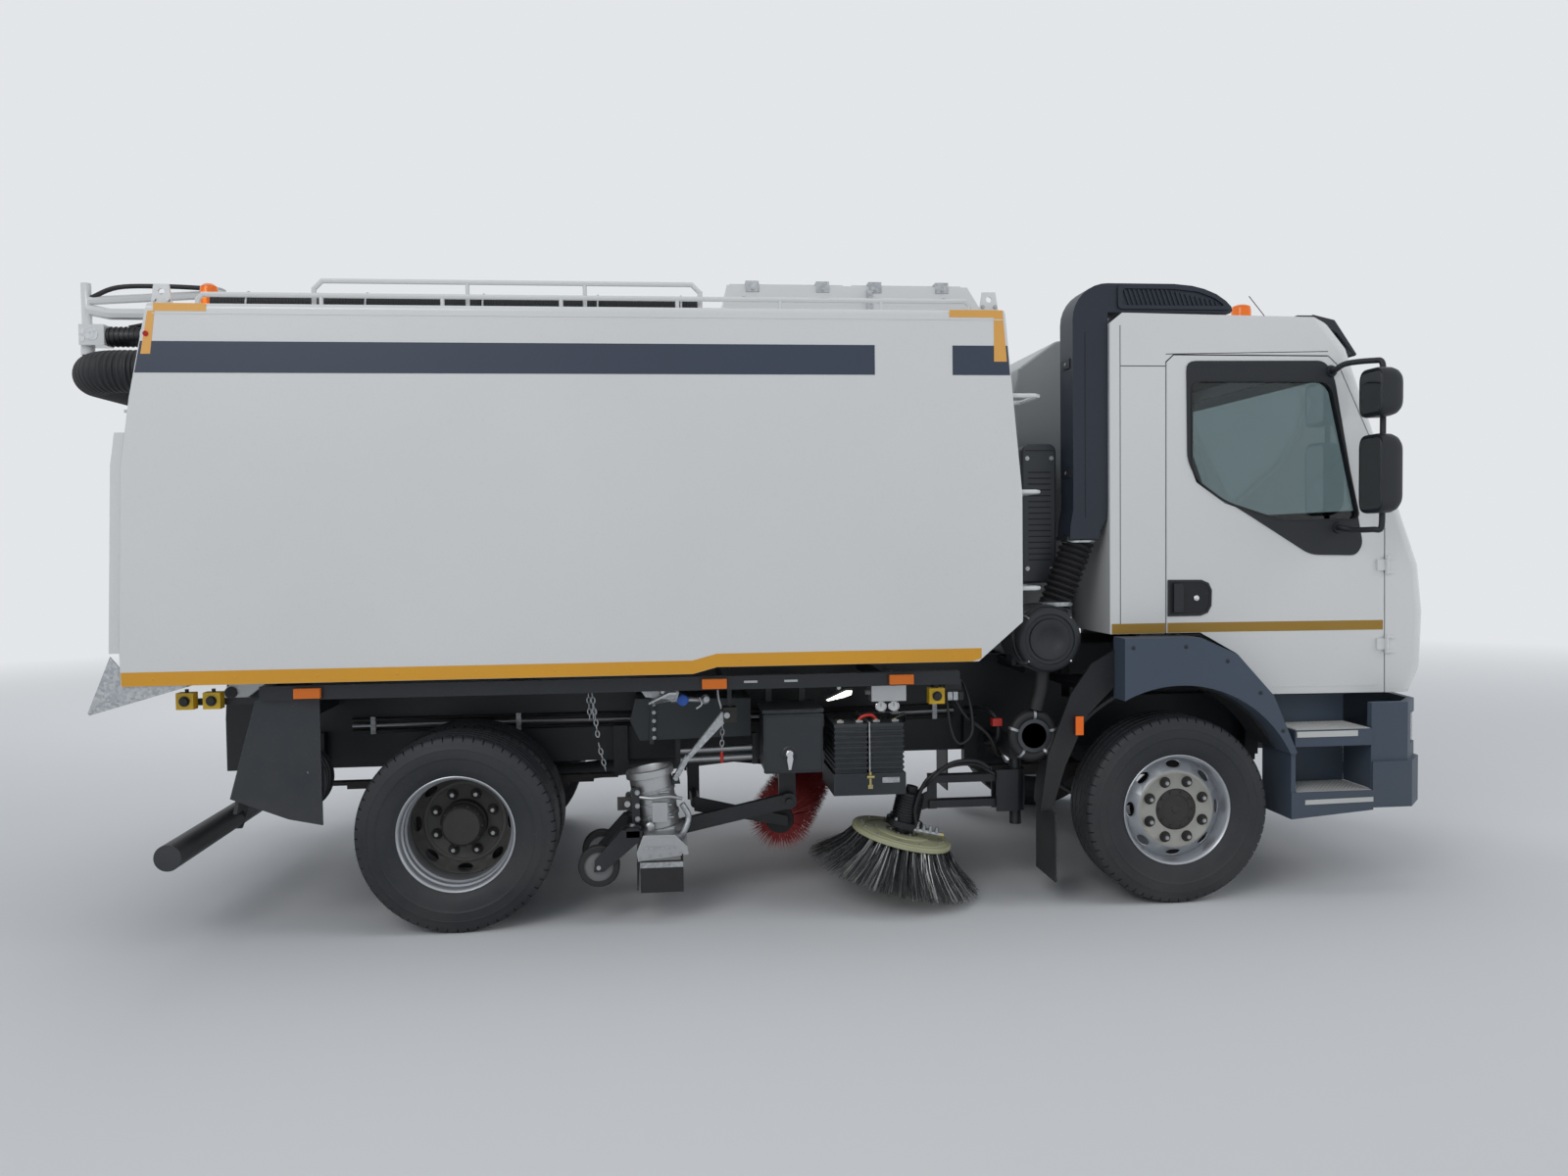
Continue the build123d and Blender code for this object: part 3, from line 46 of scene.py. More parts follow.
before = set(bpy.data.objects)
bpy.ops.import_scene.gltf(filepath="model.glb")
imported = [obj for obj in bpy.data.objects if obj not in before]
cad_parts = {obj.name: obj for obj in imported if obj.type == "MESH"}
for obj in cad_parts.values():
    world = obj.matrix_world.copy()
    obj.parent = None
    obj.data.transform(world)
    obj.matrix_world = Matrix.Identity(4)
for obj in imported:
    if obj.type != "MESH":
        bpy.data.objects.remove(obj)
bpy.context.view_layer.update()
rear_axle = sum(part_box("rear_wheels_right"), Vector()) / 2
tyre_radius = rear_axle.z
hopper_roof = 2.72
cab_side = 1.06
SIDES = (("right", -1), ("left", 1))
BACK, RIGHT, LEFT, UP = (-1, 0, 0), (0, -1, 0), (0, 1, 0), (0, 0, 1)
# Finishes of most small parts
BLACK, ZINC, FRAME, BOLTS = "black_plastic", "galvanised", "chassis_paint", "bolt_zinc"


def at(x, y, z):
    """Point whose X is counted ahead of the rear axle."""
    return Vector((rear_axle.x + x, y, z))


def spot(place):
    """A vector as it is, or three numbers as at() counts them."""
    return place if isinstance(place, Vector) else at(*place)


def mm(*rows):
    """Rows of millimetres in metres."""
    return [tuple(value / 1000 for value in row) for row in rows]


def about(middle, half):
    """Two places as far to either side of a middle."""
    return middle - half, middle + half


def rect(x0, x1, z0, z1):
    """Side-view outline of an upright rectangle."""
    return [(x0, z0), (x1, z0), (x1, z1), (x0, z1)]


def around(count, first=0.0):
    """Angles of as many places round a circle, the first one as a share of a step."""
    return [2 * pi * (step + first) / count for step in range(count)]


def metres(label, description, value, low=0):
    """Length that the user can set."""
    return FloatProperty(name=label, description=description, default=value, min=low, subtype="DISTANCE",
        unit="LENGTH")


class SweeperSizes(bpy.types.PropertyGroup):
    """Sizes of the fine pieces."""

    tread_depth: metres("Tread depth", "Depth of the tyre grooves", 0.012)
    tread_pitches: IntProperty(name="Tread pitches", description="Tread blocks around a tyre", default=60, min=20)
    nut_radius: metres("Wheel nut", "Radius of a wheel nut across its corners", 0.017, 0.005)
    band_height: metres("Band height", "Height of the yellow band under the hopper", 0.058, 0.01)
    stripe_low: metres("Stripe bottom", "Lower edge of the navy stripe above the ground", 2.43)
    stripe_height: metres("Stripe height", "Height of the navy stripe", 0.13, 0.01)
    edge_round: metres("Edge round", "Rounding of the sheet and plastic edges", 0.006)
    bristles: IntProperty(name="Bristles in a tuft", description="Steel wires in one tuft of the side brush",
        default=38, min=4)


def colour(label, description, value):
    """Colour that the user can set."""
    return FloatVectorProperty(name=label, description=description, subtype="COLOR", size=3, min=0, max=1,
        default=value)


class SweeperColours(bpy.types.PropertyGroup):
    """Colours of the machine."""

    white: colour("White", "Paint of cab and hopper", (0.76, 0.77, 0.765))
    navy: colour("Navy", "Stripe along the hopper", (0.036, 0.05, 0.082))
    band: colour("Yellow band", "Band under the hopper", (0.78, 0.37, 0.02))
    tape: colour("Corner tape", "Reflective tape at the hopper's corners", (0.86, 0.44, 0.1))
    gold: colour("Gold stripe", "Stripe along the cab", (0.37, 0.21, 0.02))
    plastic: colour("Blue-grey plastic", "Steps, flares and bumper", (0.058, 0.082, 0.118))
    chassis: colour("Chassis black", "Paint of frame and brackets", (0.008, 0.011, 0.016))
    red: colour("Channel brush", "Bristles of the brush under the frame", (0.36, 0.012, 0.012))
    amber: colour("Amber", "Lenses of beacons and side lamps", (0.85, 0.2, 0.01))
    dust: colour("Road dust", "Film on the low parts", (0.16, 0.15, 0.135))


# Shader building


def feed(tree, node, inputs):
    """Links or sets a node's inputs."""
    for socket, value in inputs.items():
        if isinstance(value, bpy.types.NodeSocket):
            tree.links.new(value, node.inputs[socket])
        else:
            node.inputs[socket].default_value = value
    return node


def put(tree, kind, inputs=None, **settings):
    """Adds a shader node, sets its properties, and feeds its inputs."""
    node = tree.nodes.new("ShaderNode" + kind)
    for name, value in settings.items():
        setattr(node, name, value)
    return feed(tree, node, inputs or {})


def here(tree):
    """The piece's own place in metres."""
    return put(tree, "TexCoord").outputs["Object"]


def noise(tree, scale, detail=3):
    """Noise over the piece's own place."""
    return put(tree, "TexNoise", {"Vector": here(tree), "Scale": scale, "Detail": detail}).outputs["Fac"]


def ramp(tree, value, low, high, start=0.0, end=1.0):
    """Value between two bounds turned into a range."""
    return put(tree, "MapRange", {"Value": value, "From Min": low, "From Max": high, "To Min": start,
        "To Max": end}).outputs["Result"]


def math(tree, operation, first, second, clamped=False):
    """One sum on two values."""
    return put(tree, "Math", {0: first, 1: second}, operation=operation, use_clamp=clamped).outputs[0]


def toned(tree, base, tone):
    """Colour times a tone."""
    return put(tree, "VectorMath", {0: base, 1: tone}, operation="MULTIPLY").outputs[0]


def mix_colour(tree, share, first, second):
    """Blend of two colours."""
    return put(tree, "Mix", {0: share, 6: first, 7: second}, data_type="RGBA").outputs[2]


def bump(tree, height, distance, strength=1.0):
    """Normal of a fine relief."""
    return put(tree, "Bump", {"Height": height, "Strength": strength, "Distance": distance}).outputs[0]


def dust_effect(tree, given):
    """Road film that thins out with height, in patches, with fine spots of dirt."""
    height = put(tree, "SeparateXYZ", {0: here(tree)}).outputs["Z"]
    low = math(tree, "MAXIMUM", math(tree, "SUBTRACT", 1.0, math(tree, "DIVIDE", height, given["Reach"])), 0.0)
    patches = math(tree, "MULTIPLY", low, ramp(tree, noise(tree, 3.2, 6), 0.32, 0.72))
    spots = math(tree, "MULTIPLY", ramp(tree, noise(tree, 70, 2), 0.6, 0.74), 0.22)
    mask = math(tree, "MULTIPLY", math(tree, "ADD", patches, spots), given["Amount"], True)
    return {"Colour": mix_colour(tree, mask, given["Colour"], given["Dust"]), "Mask": mask}


def grain_effect(tree, given):
    """Fine unevenness of a paint or moulded skin, and a slow change of tone."""
    slow = ramp(tree, noise(tree, 1.3, 3), 0.3, 0.7, -0.5, 0.5)
    return {"Height": noise(tree, math(tree, "DIVIDE", 1.0, given["Size"]), 2),
        "Tone": math(tree, "ADD", 1.0, math(tree, "MULTIPLY", slow, given["Tone"]))}


def wear_effect(tree, given):
    """Bare or rubbed colour along the edges, broken up by noise."""
    rounded_way = put(tree, "Bevel", {"Radius": given["Width"]}, samples=4).outputs[0]
    flat_way = put(tree, "NewGeometry").outputs["Normal"]
    alike = put(tree, "VectorMath", {0: rounded_way, 1: flat_way}, operation="DOT_PRODUCT").outputs["Value"]
    broken = math(tree, "MULTIPLY", ramp(tree, alike, 0.995, 0.9), ramp(tree, noise(tree, 42, 4), 0.42, 0.66))
    mask = math(tree, "MULTIPLY", broken, given["Amount"])
    return {"Colour": mix_colour(tree, mask, given["Colour"], given["Bare"]), "Mask": mask}


def spangle_effect(tree, given):
    """Crystals of a zinc coat: a value for each crystal."""
    scale = math(tree, "DIVIDE", 1.0, given["Size"])
    cells = put(tree, "TexVoronoi", {"Vector": here(tree), "Scale": scale}).outputs["Color"]
    return {"Tone": put(tree, "SeparateColor", {0: cells}).outputs[0], "Height": noise(tree, 160, 2)}


def weave_effect(tree, given):
    """Crossed threads of a seat cloth."""
    scale = math(tree, "DIVIDE", 0.35, given["Thread"])
    x, y, z = (put(tree, "TexWave", {"Vector": here(tree), "Scale": scale}, bands_direction=axis).outputs["Fac"]
        for axis in "XYZ")
    return {"Height": math(tree, "ADD", math(tree, "MAXIMUM", x, y), z), "Tone": noise(tree, 30, 3)}


# Shared effect: its inputs with their first values, and what works out its outputs
effects = {
    "road_dust": ({"Colour": (1, 1, 1, 1), "Dust": (0.2, 0.2, 0.2, 1), "Amount": 0.5, "Reach": 1.2}, dust_effect),
    "fine_grain": ({"Size": 0.002, "Tone": 0.1}, grain_effect),
    "edge_wear": ({"Colour": (1, 1, 1, 1), "Bare": (0.5, 0.5, 0.5, 1), "Width": 0.004, "Amount": 0.5}, wear_effect),
    "zinc_spangle": ({"Size": 0.012}, spangle_effect),
    "cloth_weave": ({"Thread": 0.002}, weave_effect)}


def new_group(name):
    """Node group of a shared effect."""
    inputs, rule = effects[name]
    tree = bpy.data.node_groups.new(name, "ShaderNodeTree")
    for label, value in inputs.items():
        kind = "NodeSocketColor" if isinstance(value, tuple) else "NodeSocketFloat"
        tree.interface.new_socket(label, in_out="INPUT", socket_type=kind).default_value = value
    results = rule(tree, tree.nodes.new("NodeGroupInput").outputs)
    for label, value in results.items():
        kind = "NodeSocketColor" if value.type == "RGBA" else "NodeSocketFloat"
        tree.interface.new_socket(label, in_out="OUTPUT", socket_type=kind)
    feed(tree, tree.nodes.new("NodeGroupOutput"), results)
    return tree


groups, materials = {}, {}


def use(tree, name, **inputs):
    """Outputs of a shared effect, whose group is made when first asked for."""
    if name not in groups:
        groups[name] = new_group(name)
    return put(tree, "Group", inputs, node_tree=groups[name]).outputs


def new_material(name, rule):
    """Material whose Principled shader is fed by a rule."""
    material = bpy.data.materials.new(name)
    material.use_nodes = True
    tree = material.node_tree
    feed(tree, tree.nodes["Principled BSDF"], rule(tree=tree))
    return material


def opaque(value):
    """Colour with full alpha."""
    return (*value, 1.0)


def chosen(base):
    """Colour as it is, or the user's colour of that name."""
    return getattr(bpy.context.scene.sweeper_colours, base) if isinstance(base, str) else base


def dusted(tree, base, amount, reach):
    """Road film over a colour."""
    return use(tree, "road_dust", Colour=base, Dust=opaque(chosen("dust")), Amount=amount, Reach=reach)


def coated(base, rough, metal=0.0, grain=(0.002, 0.02), tone=0.06, dust=0.25, reach=1.3, bare=None, coat=0.0, *,
        tree):
    """Painted, moulded or plain metal skin: grain is its size and depth, reach the height of the road film."""
    fine = use(tree, "fine_grain", Size=grain[0], Tone=tone)
    skin = toned(tree, chosen(base), fine["Tone"])
    if bare:
        skin = use(tree, "edge_wear", Colour=skin, Bare=opaque(bare), Width=0.003, Amount=0.55)["Colour"]
    film = dusted(tree, skin, dust, reach)
    return {"Base Color": film["Colour"], "Roughness": ramp(tree, film["Mask"], 0, 1, rough, min(1.0, rough + 0.45)),
        "Metallic": metal, "Coat Weight": coat, "Coat Roughness": 0.08, "Normal": bump(tree, fine["Height"],
        grain[1] * grain[0])}


def galvanised(base, *, tree):
    """Zinc-coated steel with its crystals, from the darkest to the lightest."""
    zinc = use(tree, "zinc_spangle", Size=0.011)
    skin = mix_colour(tree, zinc["Tone"], opaque(base), opaque([c + 0.19 for c in base]))
    return {"Base Color": dusted(tree, skin, 0.3, 1.2)["Colour"], "Roughness": ramp(tree, zinc["Tone"], 0, 1, 0.34,
        0.52), "Metallic": 0.85, "Normal": bump(tree, zinc["Height"], 0.0002)}


def clear(base, rough=0.02, through=1.0, glow=0.0, *, tree):
    """Glass or lens, with a lit core where glow is given."""
    skin = toned(tree, chosen(base), use(tree, "fine_grain", Size=0.12, Tone=0.02)["Tone"])
    lit = {"Emission Color": skin, "Emission Strength": glow} if glow else {}
    return {"Base Color": skin, "Roughness": rough, "Transmission Weight": through, "IOR": 1.45, **lit}


def cloth(base, thread=0.0016, *, tree):
    """Woven seat cloth."""
    weave = use(tree, "cloth_weave", Thread=thread)
    dark, light = (opaque([c * share for c in base]) for share in (0.7, 1.4))
    return {"Base Color": mix_colour(tree, weave["Tone"], dark, light), "Roughness": 0.92, "Sheen Weight": 0.3,
        "Normal": bump(tree, weave["Height"], thread * 0.4, 0.6)}


def rubber(base, dust, *, tree):
    """Tyre or hose rubber: matt, with a bloom of dust."""
    fine = use(tree, "fine_grain", Size=0.004, Tone=0.25)
    film = dusted(tree, toned(tree, base, fine["Tone"]), dust, 1.1)
    return {"Base Color": film["Colour"], "Roughness": ramp(tree, film["Mask"], 0, 1, 0.55, 0.95),
        "Normal": bump(tree, fine["Height"], 0.0004)}


coat = partial(partial, coated)
finishes = {
    "hopper_paint": coat("white", 0.22, grain=(0.012, 0.03), tone=0.03, dust=0.12, coat=0.5),
    "cab_paint": coat("white", 0.2, grain=(0.008, 0.02), tone=0.02, dust=0.12, coat=0.8),
    "navy_film": coat("navy", 0.35, tone=0.05, dust=0.05, reach=3.0),
    "band_paint": coat("band", 0.38, tone=0.08, dust=0.2, reach=1.5),
    "corner_tape": coat("tape", 0.32, grain=(0.003, 0.2), tone=0.1, dust=0.1, reach=3.0),
    "gold_film": coat("gold", 0.35, grain=(0.003, 0.1), tone=0.1, dust=0.1, reach=2.0),
    "moulded": coat("plastic", 0.55, grain=(0.0015, 0.25), tone=0.12, dust=0.3),
    "chassis_paint": coat("chassis", 0.42, 0, (0.006, 0.05), tone=0.2, dust=0.18, bare=(0.07, 0.065, 0.06)),
    "cabinet_paint": coat((0.014, 0.019, 0.025), 0.38, tone=0.1, dust=0.25, bare=(0.2, 0.2, 0.2)),
    "guard_paint": coat((0.02, 0.025, 0.032), 0.45, tone=0.15, dust=0.4, bare=(0.25, 0.25, 0.24)),
    "cowl_paint": coat((0.42, 0.44, 0.45), 0.35, dust=0.2, reach=3.0),
    "cooler_paint": coat((0.05, 0.056, 0.066), 0.42, tone=0.1, dust=0.2, reach=2.4),
    "engine_paint": coat((0.11, 0.12, 0.125), 0.45, tone=0.2, dust=0.5),
    "black_plastic": coat((0.009, 0.012, 0.017), 0.42, 0, (0.0012, 0.25), tone=0.15, dust=0.12, reach=2.4),
    "liner_plastic": coat((0.006, 0.008, 0.011), 0.6, 0, (0.002, 0.3), tone=0.2, dust=0.3),
    "stack_plastic": coat((0.013, 0.02, 0.034), 0.45, 0, (0.0016, 0.3), tone=0.12, dust=0.1, reach=2.6),
    "visor_plastic": coat((0.016, 0.02, 0.03), 0.12, tone=0.05, dust=0.05, reach=3.0),
    "cast_iron": coat((0.035, 0.034, 0.033), 0.6, 0.4, (0.004, 0.4), tone=0.3, dust=0.45),
    "wheel_paint": coat((0.52, 0.54, 0.57), 0.3, 0.6, tone=0.12, dust=0.3, reach=0.9),
    "lining": coat((0.045, 0.048, 0.052), 0.75, 0, (0.002, 0.3), tone=0.08, dust=0.05),
    "castor_grey": coat((0.22, 0.225, 0.23), 0.45, tone=0.1, dust=0.3),
    "wheel_face": coat((0.42, 0.415, 0.38), 0.4, 0.35, tone=0.12, dust=0.35, reach=0.9),
    "disc_grey": coat((0.085, 0.083, 0.078), 0.5, 0.3, tone=0.25, dust=0.5, reach=0.9),
    "alloy": coat((0.5, 0.51, 0.52), 0.38, 0.9, (0.003, 0.1), tone=0.15, dust=0.3),
    "chrome": coat((0.75, 0.76, 0.77), 0.08, 1.0, tone=0.02, dust=0.08),
    "bolt_zinc": coat((0.45, 0.46, 0.47), 0.35, 0.9, (0.002, 0.1), tone=0.2, dust=0.2),
    # Grey steel brush disc: the yellow in its colour and in its bare edges is painted light of the work lamp
    "disc_with_painted_lamp_light": coat((0.52, 0.52, 0.32), 0.42, tone=0.35, dust=0.3, bare=(0.55, 0.54, 0.46)),
    "wire_steel": coat((0.04, 0.045, 0.05), 0.4, 0.5, tone=0.8, dust=0.2),
    # Lit copy of the dark steel wire: a painted highlight on some of the bristles
    "wire_painted_highlight": coat((0.55, 0.55, 0.54), 0.35, 0.7, tone=0.4, dust=0.1),
    "red_plastic": coat("red", 0.5, tone=0.3, dust=0.2),
    "warning_yellow": coat((0.8, 0.5, 0.02), 0.4, tone=0.05, dust=0.15),
    "valve_blue": coat((0.02, 0.12, 0.55), 0.35, tone=0.05, dust=0.1),
    "handle_red": coat((0.6, 0.03, 0.02), 0.35, tone=0.05, dust=0.1),
    "reflector": coat((0.8, 0.81, 0.8), 0.15, 1.0, tone=0.05, dust=0.0),
    "tread_strip": coat((0.62, 0.62, 0.6), 0.45, 0.3, tone=0.1, dust=0.1),
    "cable_black": coat((0.01, 0.01, 0.011), 0.38, tone=0.1, dust=0.15),
    "battery_plastic": coat((0.028, 0.033, 0.038), 0.48, tone=0.2, dust=0.3),
    "tank_grey": coat((0.045, 0.055, 0.06), 0.5, tone=0.2, dust=0.3),
    "brass": coat((0.5, 0.42, 0.2), 0.35, 0.8, tone=0.2, dust=0.15),
    "mirror_glass": coat((0.75, 0.78, 0.8), 0.03, 1.0, tone=0.02, dust=0.0),
    "galvanised": partial(galvanised, (0.36, 0.38, 0.4)),
    "seat_cloth": partial(cloth, (0.04, 0.045, 0.055)),
    "seal_rubber": partial(rubber, (0.012, 0.012, 0.013), 0.1),
    "tyre_rubber": partial(rubber, (0.014, 0.017, 0.022), 0.28),
    "hose_rubber": partial(rubber, (0.012, 0.013, 0.016), 0.15),
    "window_glass": partial(clear, (0.37, 0.44, 0.45)),
    "lamp_clear": partial(clear, (0.92, 0.94, 0.95)),
    "lamp_amber": partial(clear, "amber", 0.06, 0.45, 0.18),
    "lamp_red": partial(clear, (0.55, 0.01, 0.01), 0.06, 0.3, 0.05),
    "lamp_lit": partial(clear, (1.0, 0.97, 0.86), 0.1, 0.0, 3.0)}


def finish(name):
    """Material of a finish, made when first asked for."""
    if name not in materials:
        materials[name] = new_material(name, finishes[name])
    return materials[name]


# Mesh building


def turned_frame(way):
    """Two directions square to a way."""
    way = way.normalized()
    side = way.cross(Vector((0, 0, 1)) if abs(way.z) < 0.9 else Vector((0, 1, 0))).normalized()
    return side, way.cross(side).normalized()


class Form:
    """A piece's mesh while it is made. Each surface is added with the name of its finish."""

    def __init__(self):
        self.mesh = bmesh.new()
        self.names = []

    def faces(self, corners, loops, name):
        """Adds corners and the faces between them."""
        if name not in self.names:
            self.names.append(name)
        verts = [self.mesh.verts.new(c) for c in corners]
        for loop in loops:
            face = self.mesh.faces.new([verts[i] for i in loop])
            face.material_index = self.names.index(name)

    def prism(self, low, high, name):
        """Closed body between two like outlines."""
        n = len(low)
        walls = [(i, (i + 1) % n, n + (i + 1) % n, n + i) for i in range(n)]
        self.faces([*low, *high], [tuple(reversed(range(n))), tuple(range(n, 2 * n)), *walls], name)

    def slab(self, points, y0, y1, name):
        """Side-view outline, its X ahead of the rear axle, between two places across."""
        self.prism([at(x, y0, z) for x, z in points], [at(x, y1, z) for x, z in points], name)

    def plan(self, points, z0, z1, name):
        """Top-view outline between two heights."""
        self.prism([at(x, y, z0) for x, y in points], [at(x, y, z1) for x, y in points], name)

    def block(self, x, y, z, name):
        """Box between two places on each axis."""
        self.slab(rect(*x, *z), *y, name)

    def rings(self, rows, name, closed=False, caps=True):
        """Skin through rings of as many points each."""
        n, count = len(rows[0]), len(rows)
        loops = [(r * n + i, r * n + (i + 1) % n, (r + 1) % count * n + (i + 1) % n, (r + 1) % count * n + i)
            for r in range(count if closed else count - 1) for i in range(n)]
        if caps and not closed:
            loops += [tuple(reversed(range(n))), tuple(range((count - 1) * n, count * n))]
        self.faces([p for row in rows for p in row], loops, name)

    def lathe(self, profile, foot, way, name, sides=40, closed=False):
        """Turned body: profile holds (radius, distance along the way)."""
        foot, way = spot(foot), Vector(way).normalized()
        side, up = turned_frame(way)
        self.rings([[foot + way * h + (side * cos(a) + up * sin(a)) * max(r, 1e-5) for a in around(sides)]
            for r, h in profile], name, closed)

    def band(self, inner, outer, foot, way, name, sides=40, closed=False):
        """Hoop about a round body: inner and outer are (radius, half its width)."""
        self.lathe([(inner[0], -inner[1]), (outer[0], -outer[1]), outer, inner], foot, way, name, sides, closed)

    def rod(self, start, end, radius, name, sides=16, end_radius=None):
        """Round bar between two points."""
        start, end = spot(start), spot(end)
        self.lathe([(radius, 0), (end_radius or radius, (end - start).length)], start, end - start, name, sides)

    def tube(self, route, radius, name, sides=10, smooth=4):
        """Hose or bent bar along a smooth line through the route's points. The radius may be a function of share."""
        line = smooth_line([spot(p) for p in route], smooth)
        last = len(line) - 1
        ways = [(line[min(i + 1, last)] - line[max(i - 1, 0)]).normalized() for i in range(last + 1)]
        side, rows = turned_frame(ways[0])[0], []
        for i, (place, way) in enumerate(zip(line, ways)):
            side = (side - way * side.dot(way)).normalized()
            up = way.cross(side)
            size = radius(i / last) if callable(radius) else radius
            rows.append([place + (side * cos(a) + up * sin(a)) * size for a in around(sides)])
        self.rings(rows, name)

    def bolt(self, place, way, radius, height, name="bolt_zinc"):
        """Hexagon head on a washer."""
        place, way = spot(place), Vector(way).normalized()
        self.rod(place, place + way * height * 0.2, radius * 1.35, name, 14)
        self.rod(place + way * height * 0.2, place + way * height, radius, name, 6)

    def place(self, name, body, slot=None, replaces=(), bevel=0.0, smooth=38, segments=2):
        """Closes the mesh, makes its object and lets it ride on a body."""
        bmesh.ops.recalc_face_normals(self.mesh, faces=self.mesh.faces)
        data = bpy.data.meshes.new(name)
        self.mesh.to_mesh(data)
        self.mesh.free()
        data.shade_smooth()
        data.set_sharp_from_angle(angle=radians(smooth))
        for label in self.names:
            data.materials.append(finish(label))
        piece = add_to_scene(name, data)
        if bevel:
            edge = piece.modifiers.new("edges", "BEVEL")
            edge.width, edge.segments, edge.limit_method, edge.angle_limit = bevel, segments, "ANGLE", radians(40)
            edge.harden_normals = False
        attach(piece, body)
        if replaces:
            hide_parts(*replaces)
        return piece


def smooth_line(points, steps):
    """Catmull-Rom line through points."""
    if steps < 2 or len(points) < 3:
        return points
    ends = [points[0] * 2 - points[1], *points, points[-1] * 2 - points[-2]]
    line = []
    for a, b, c, d in zip(ends, ends[1:], ends[2:], ends[3:]):
        for k in range(steps):
            t = k / steps
            line.append(0.5 * ((2 * b) + (c - a) * t + (2 * a - 5 * b + 4 * c - d) * t * t
                + (3 * b - a - 3 * c + d) * t ** 3))
    return [*line, points[-1]]


# Stage and carried-over nodes

pale = (0.77, 0.79, 0.81, 1)
camera_place = (-0.5532, -6.4699, 1.6923)
camera_yaw, camera_pitch, camera_roll = 0.104, 0.0367, 0.0116
camera_lens = 27.5


def add_to_scene(name, data):
    """Object of a mesh, lamp or camera."""
    made = bpy.data.objects.new(name, data)
    bpy.context.scene.collection.objects.link(made)
    return made


def make_camera():
    """Camera at the photograph's place, turned a little forward and down."""
    data = bpy.data.cameras.new("camera")
    data.lens, data.sensor_width = camera_lens, 36
    forward = Vector((sin(camera_yaw) * cos(camera_pitch), cos(camera_yaw) * cos(camera_pitch), -sin(camera_pitch)))
    right = Vector((cos(camera_yaw), -sin(camera_yaw), 0))
    turn = Matrix.Rotation(camera_roll, 3, forward)
    axes = Matrix((turn @ right, turn @ right.cross(forward), -forward)).transposed().to_4x4()
    camera = add_to_scene("camera", data)
    camera.matrix_world = Matrix.Translation(camera_place) @ axes
    bpy.context.scene.camera = camera


def area_lamp(name, place, aim, size, power, mirrored=True):
    """Soft lamp that looks at a point. Only a mirrored one shows in glossy faces."""
    data = bpy.data.lights.new(name, "AREA")
    data.shape, data.size, data.energy = "DISK", size, power
    lamp = add_to_scene(name, data)
    lamp.location, lamp.visible_glossy = place, mirrored
    lamp.rotation_mode = "QUATERNION"
    lamp.rotation_quaternion = (Vector(aim) - Vector(place)).to_track_quat("-Z", "Y")


def studio_floor(*, tree):
    """Pale floor. Far from the machine it takes on the world's tone, so no horizon shows."""
    far = ramp(tree, put(tree, "VectorMath", {0: here(tree)}, operation="LENGTH").outputs["Value"], 5, 17)
    return {"Base Color": mix_colour(tree, far, (0.86, 0.87, 0.88, 1), (0, 0, 0, 1)), "Emission Strength": far,
        "Emission Color": pale, "Roughness": 0.8, "Specular IOR Level": 0.0}


def make_stage(context):
    """Floor, world, lamps and camera."""
    make_camera()
    floor, reach = bpy.data.meshes.new("floor"), 400
    corners = [(-reach, -reach, 0), (reach, -reach, 0), (reach, reach, 0), (-reach, reach, 0)]
    floor.from_pydata(corners, [], [(0, 1, 2, 3)])
    floor.materials.append(new_material("studio_floor", studio_floor))
    add_to_scene("floor", floor)
    world = bpy.data.worlds.new("studio")
    world.use_nodes = True
    tree = world.node_tree
    tree.nodes.clear()
    path = put(tree, "LightPath").outputs
    seen = math(tree, "MAXIMUM", path["Is Camera Ray"], math(tree, "MAXIMUM", path["Is Glossy Ray"],
        path["Is Transmission Ray"]))
    soft = put(tree, "Background", {"Color": (0.86, 0.92, 1.0, 1), "Strength": 0.36})
    plain = put(tree, "Background", {"Color": pale, "Strength": 1.0})
    both = put(tree, "MixShader", {0: seen, 1: soft.outputs[0], 2: plain.outputs[0]})
    put(tree, "OutputWorld", {"Surface": both.outputs[0]})
    context.scene.world = world
    area_lamp("key_lamp", (-5, -9, 7.5), (0, 0, 1.3), 6, 240)
    area_lamp("front_lamp", (9, -4, 5), (1, 0, 1.3), 5, 150, False)
    area_lamp("top_lamp", (0, 0, 9), (0, 0, 1), 8, 105, False)
    area_lamp("back_lamp", (-3, 9, 6), (0, 0, 1.5), 6, 220, False)
    context.scene.view_settings.view_transform = "Standard"


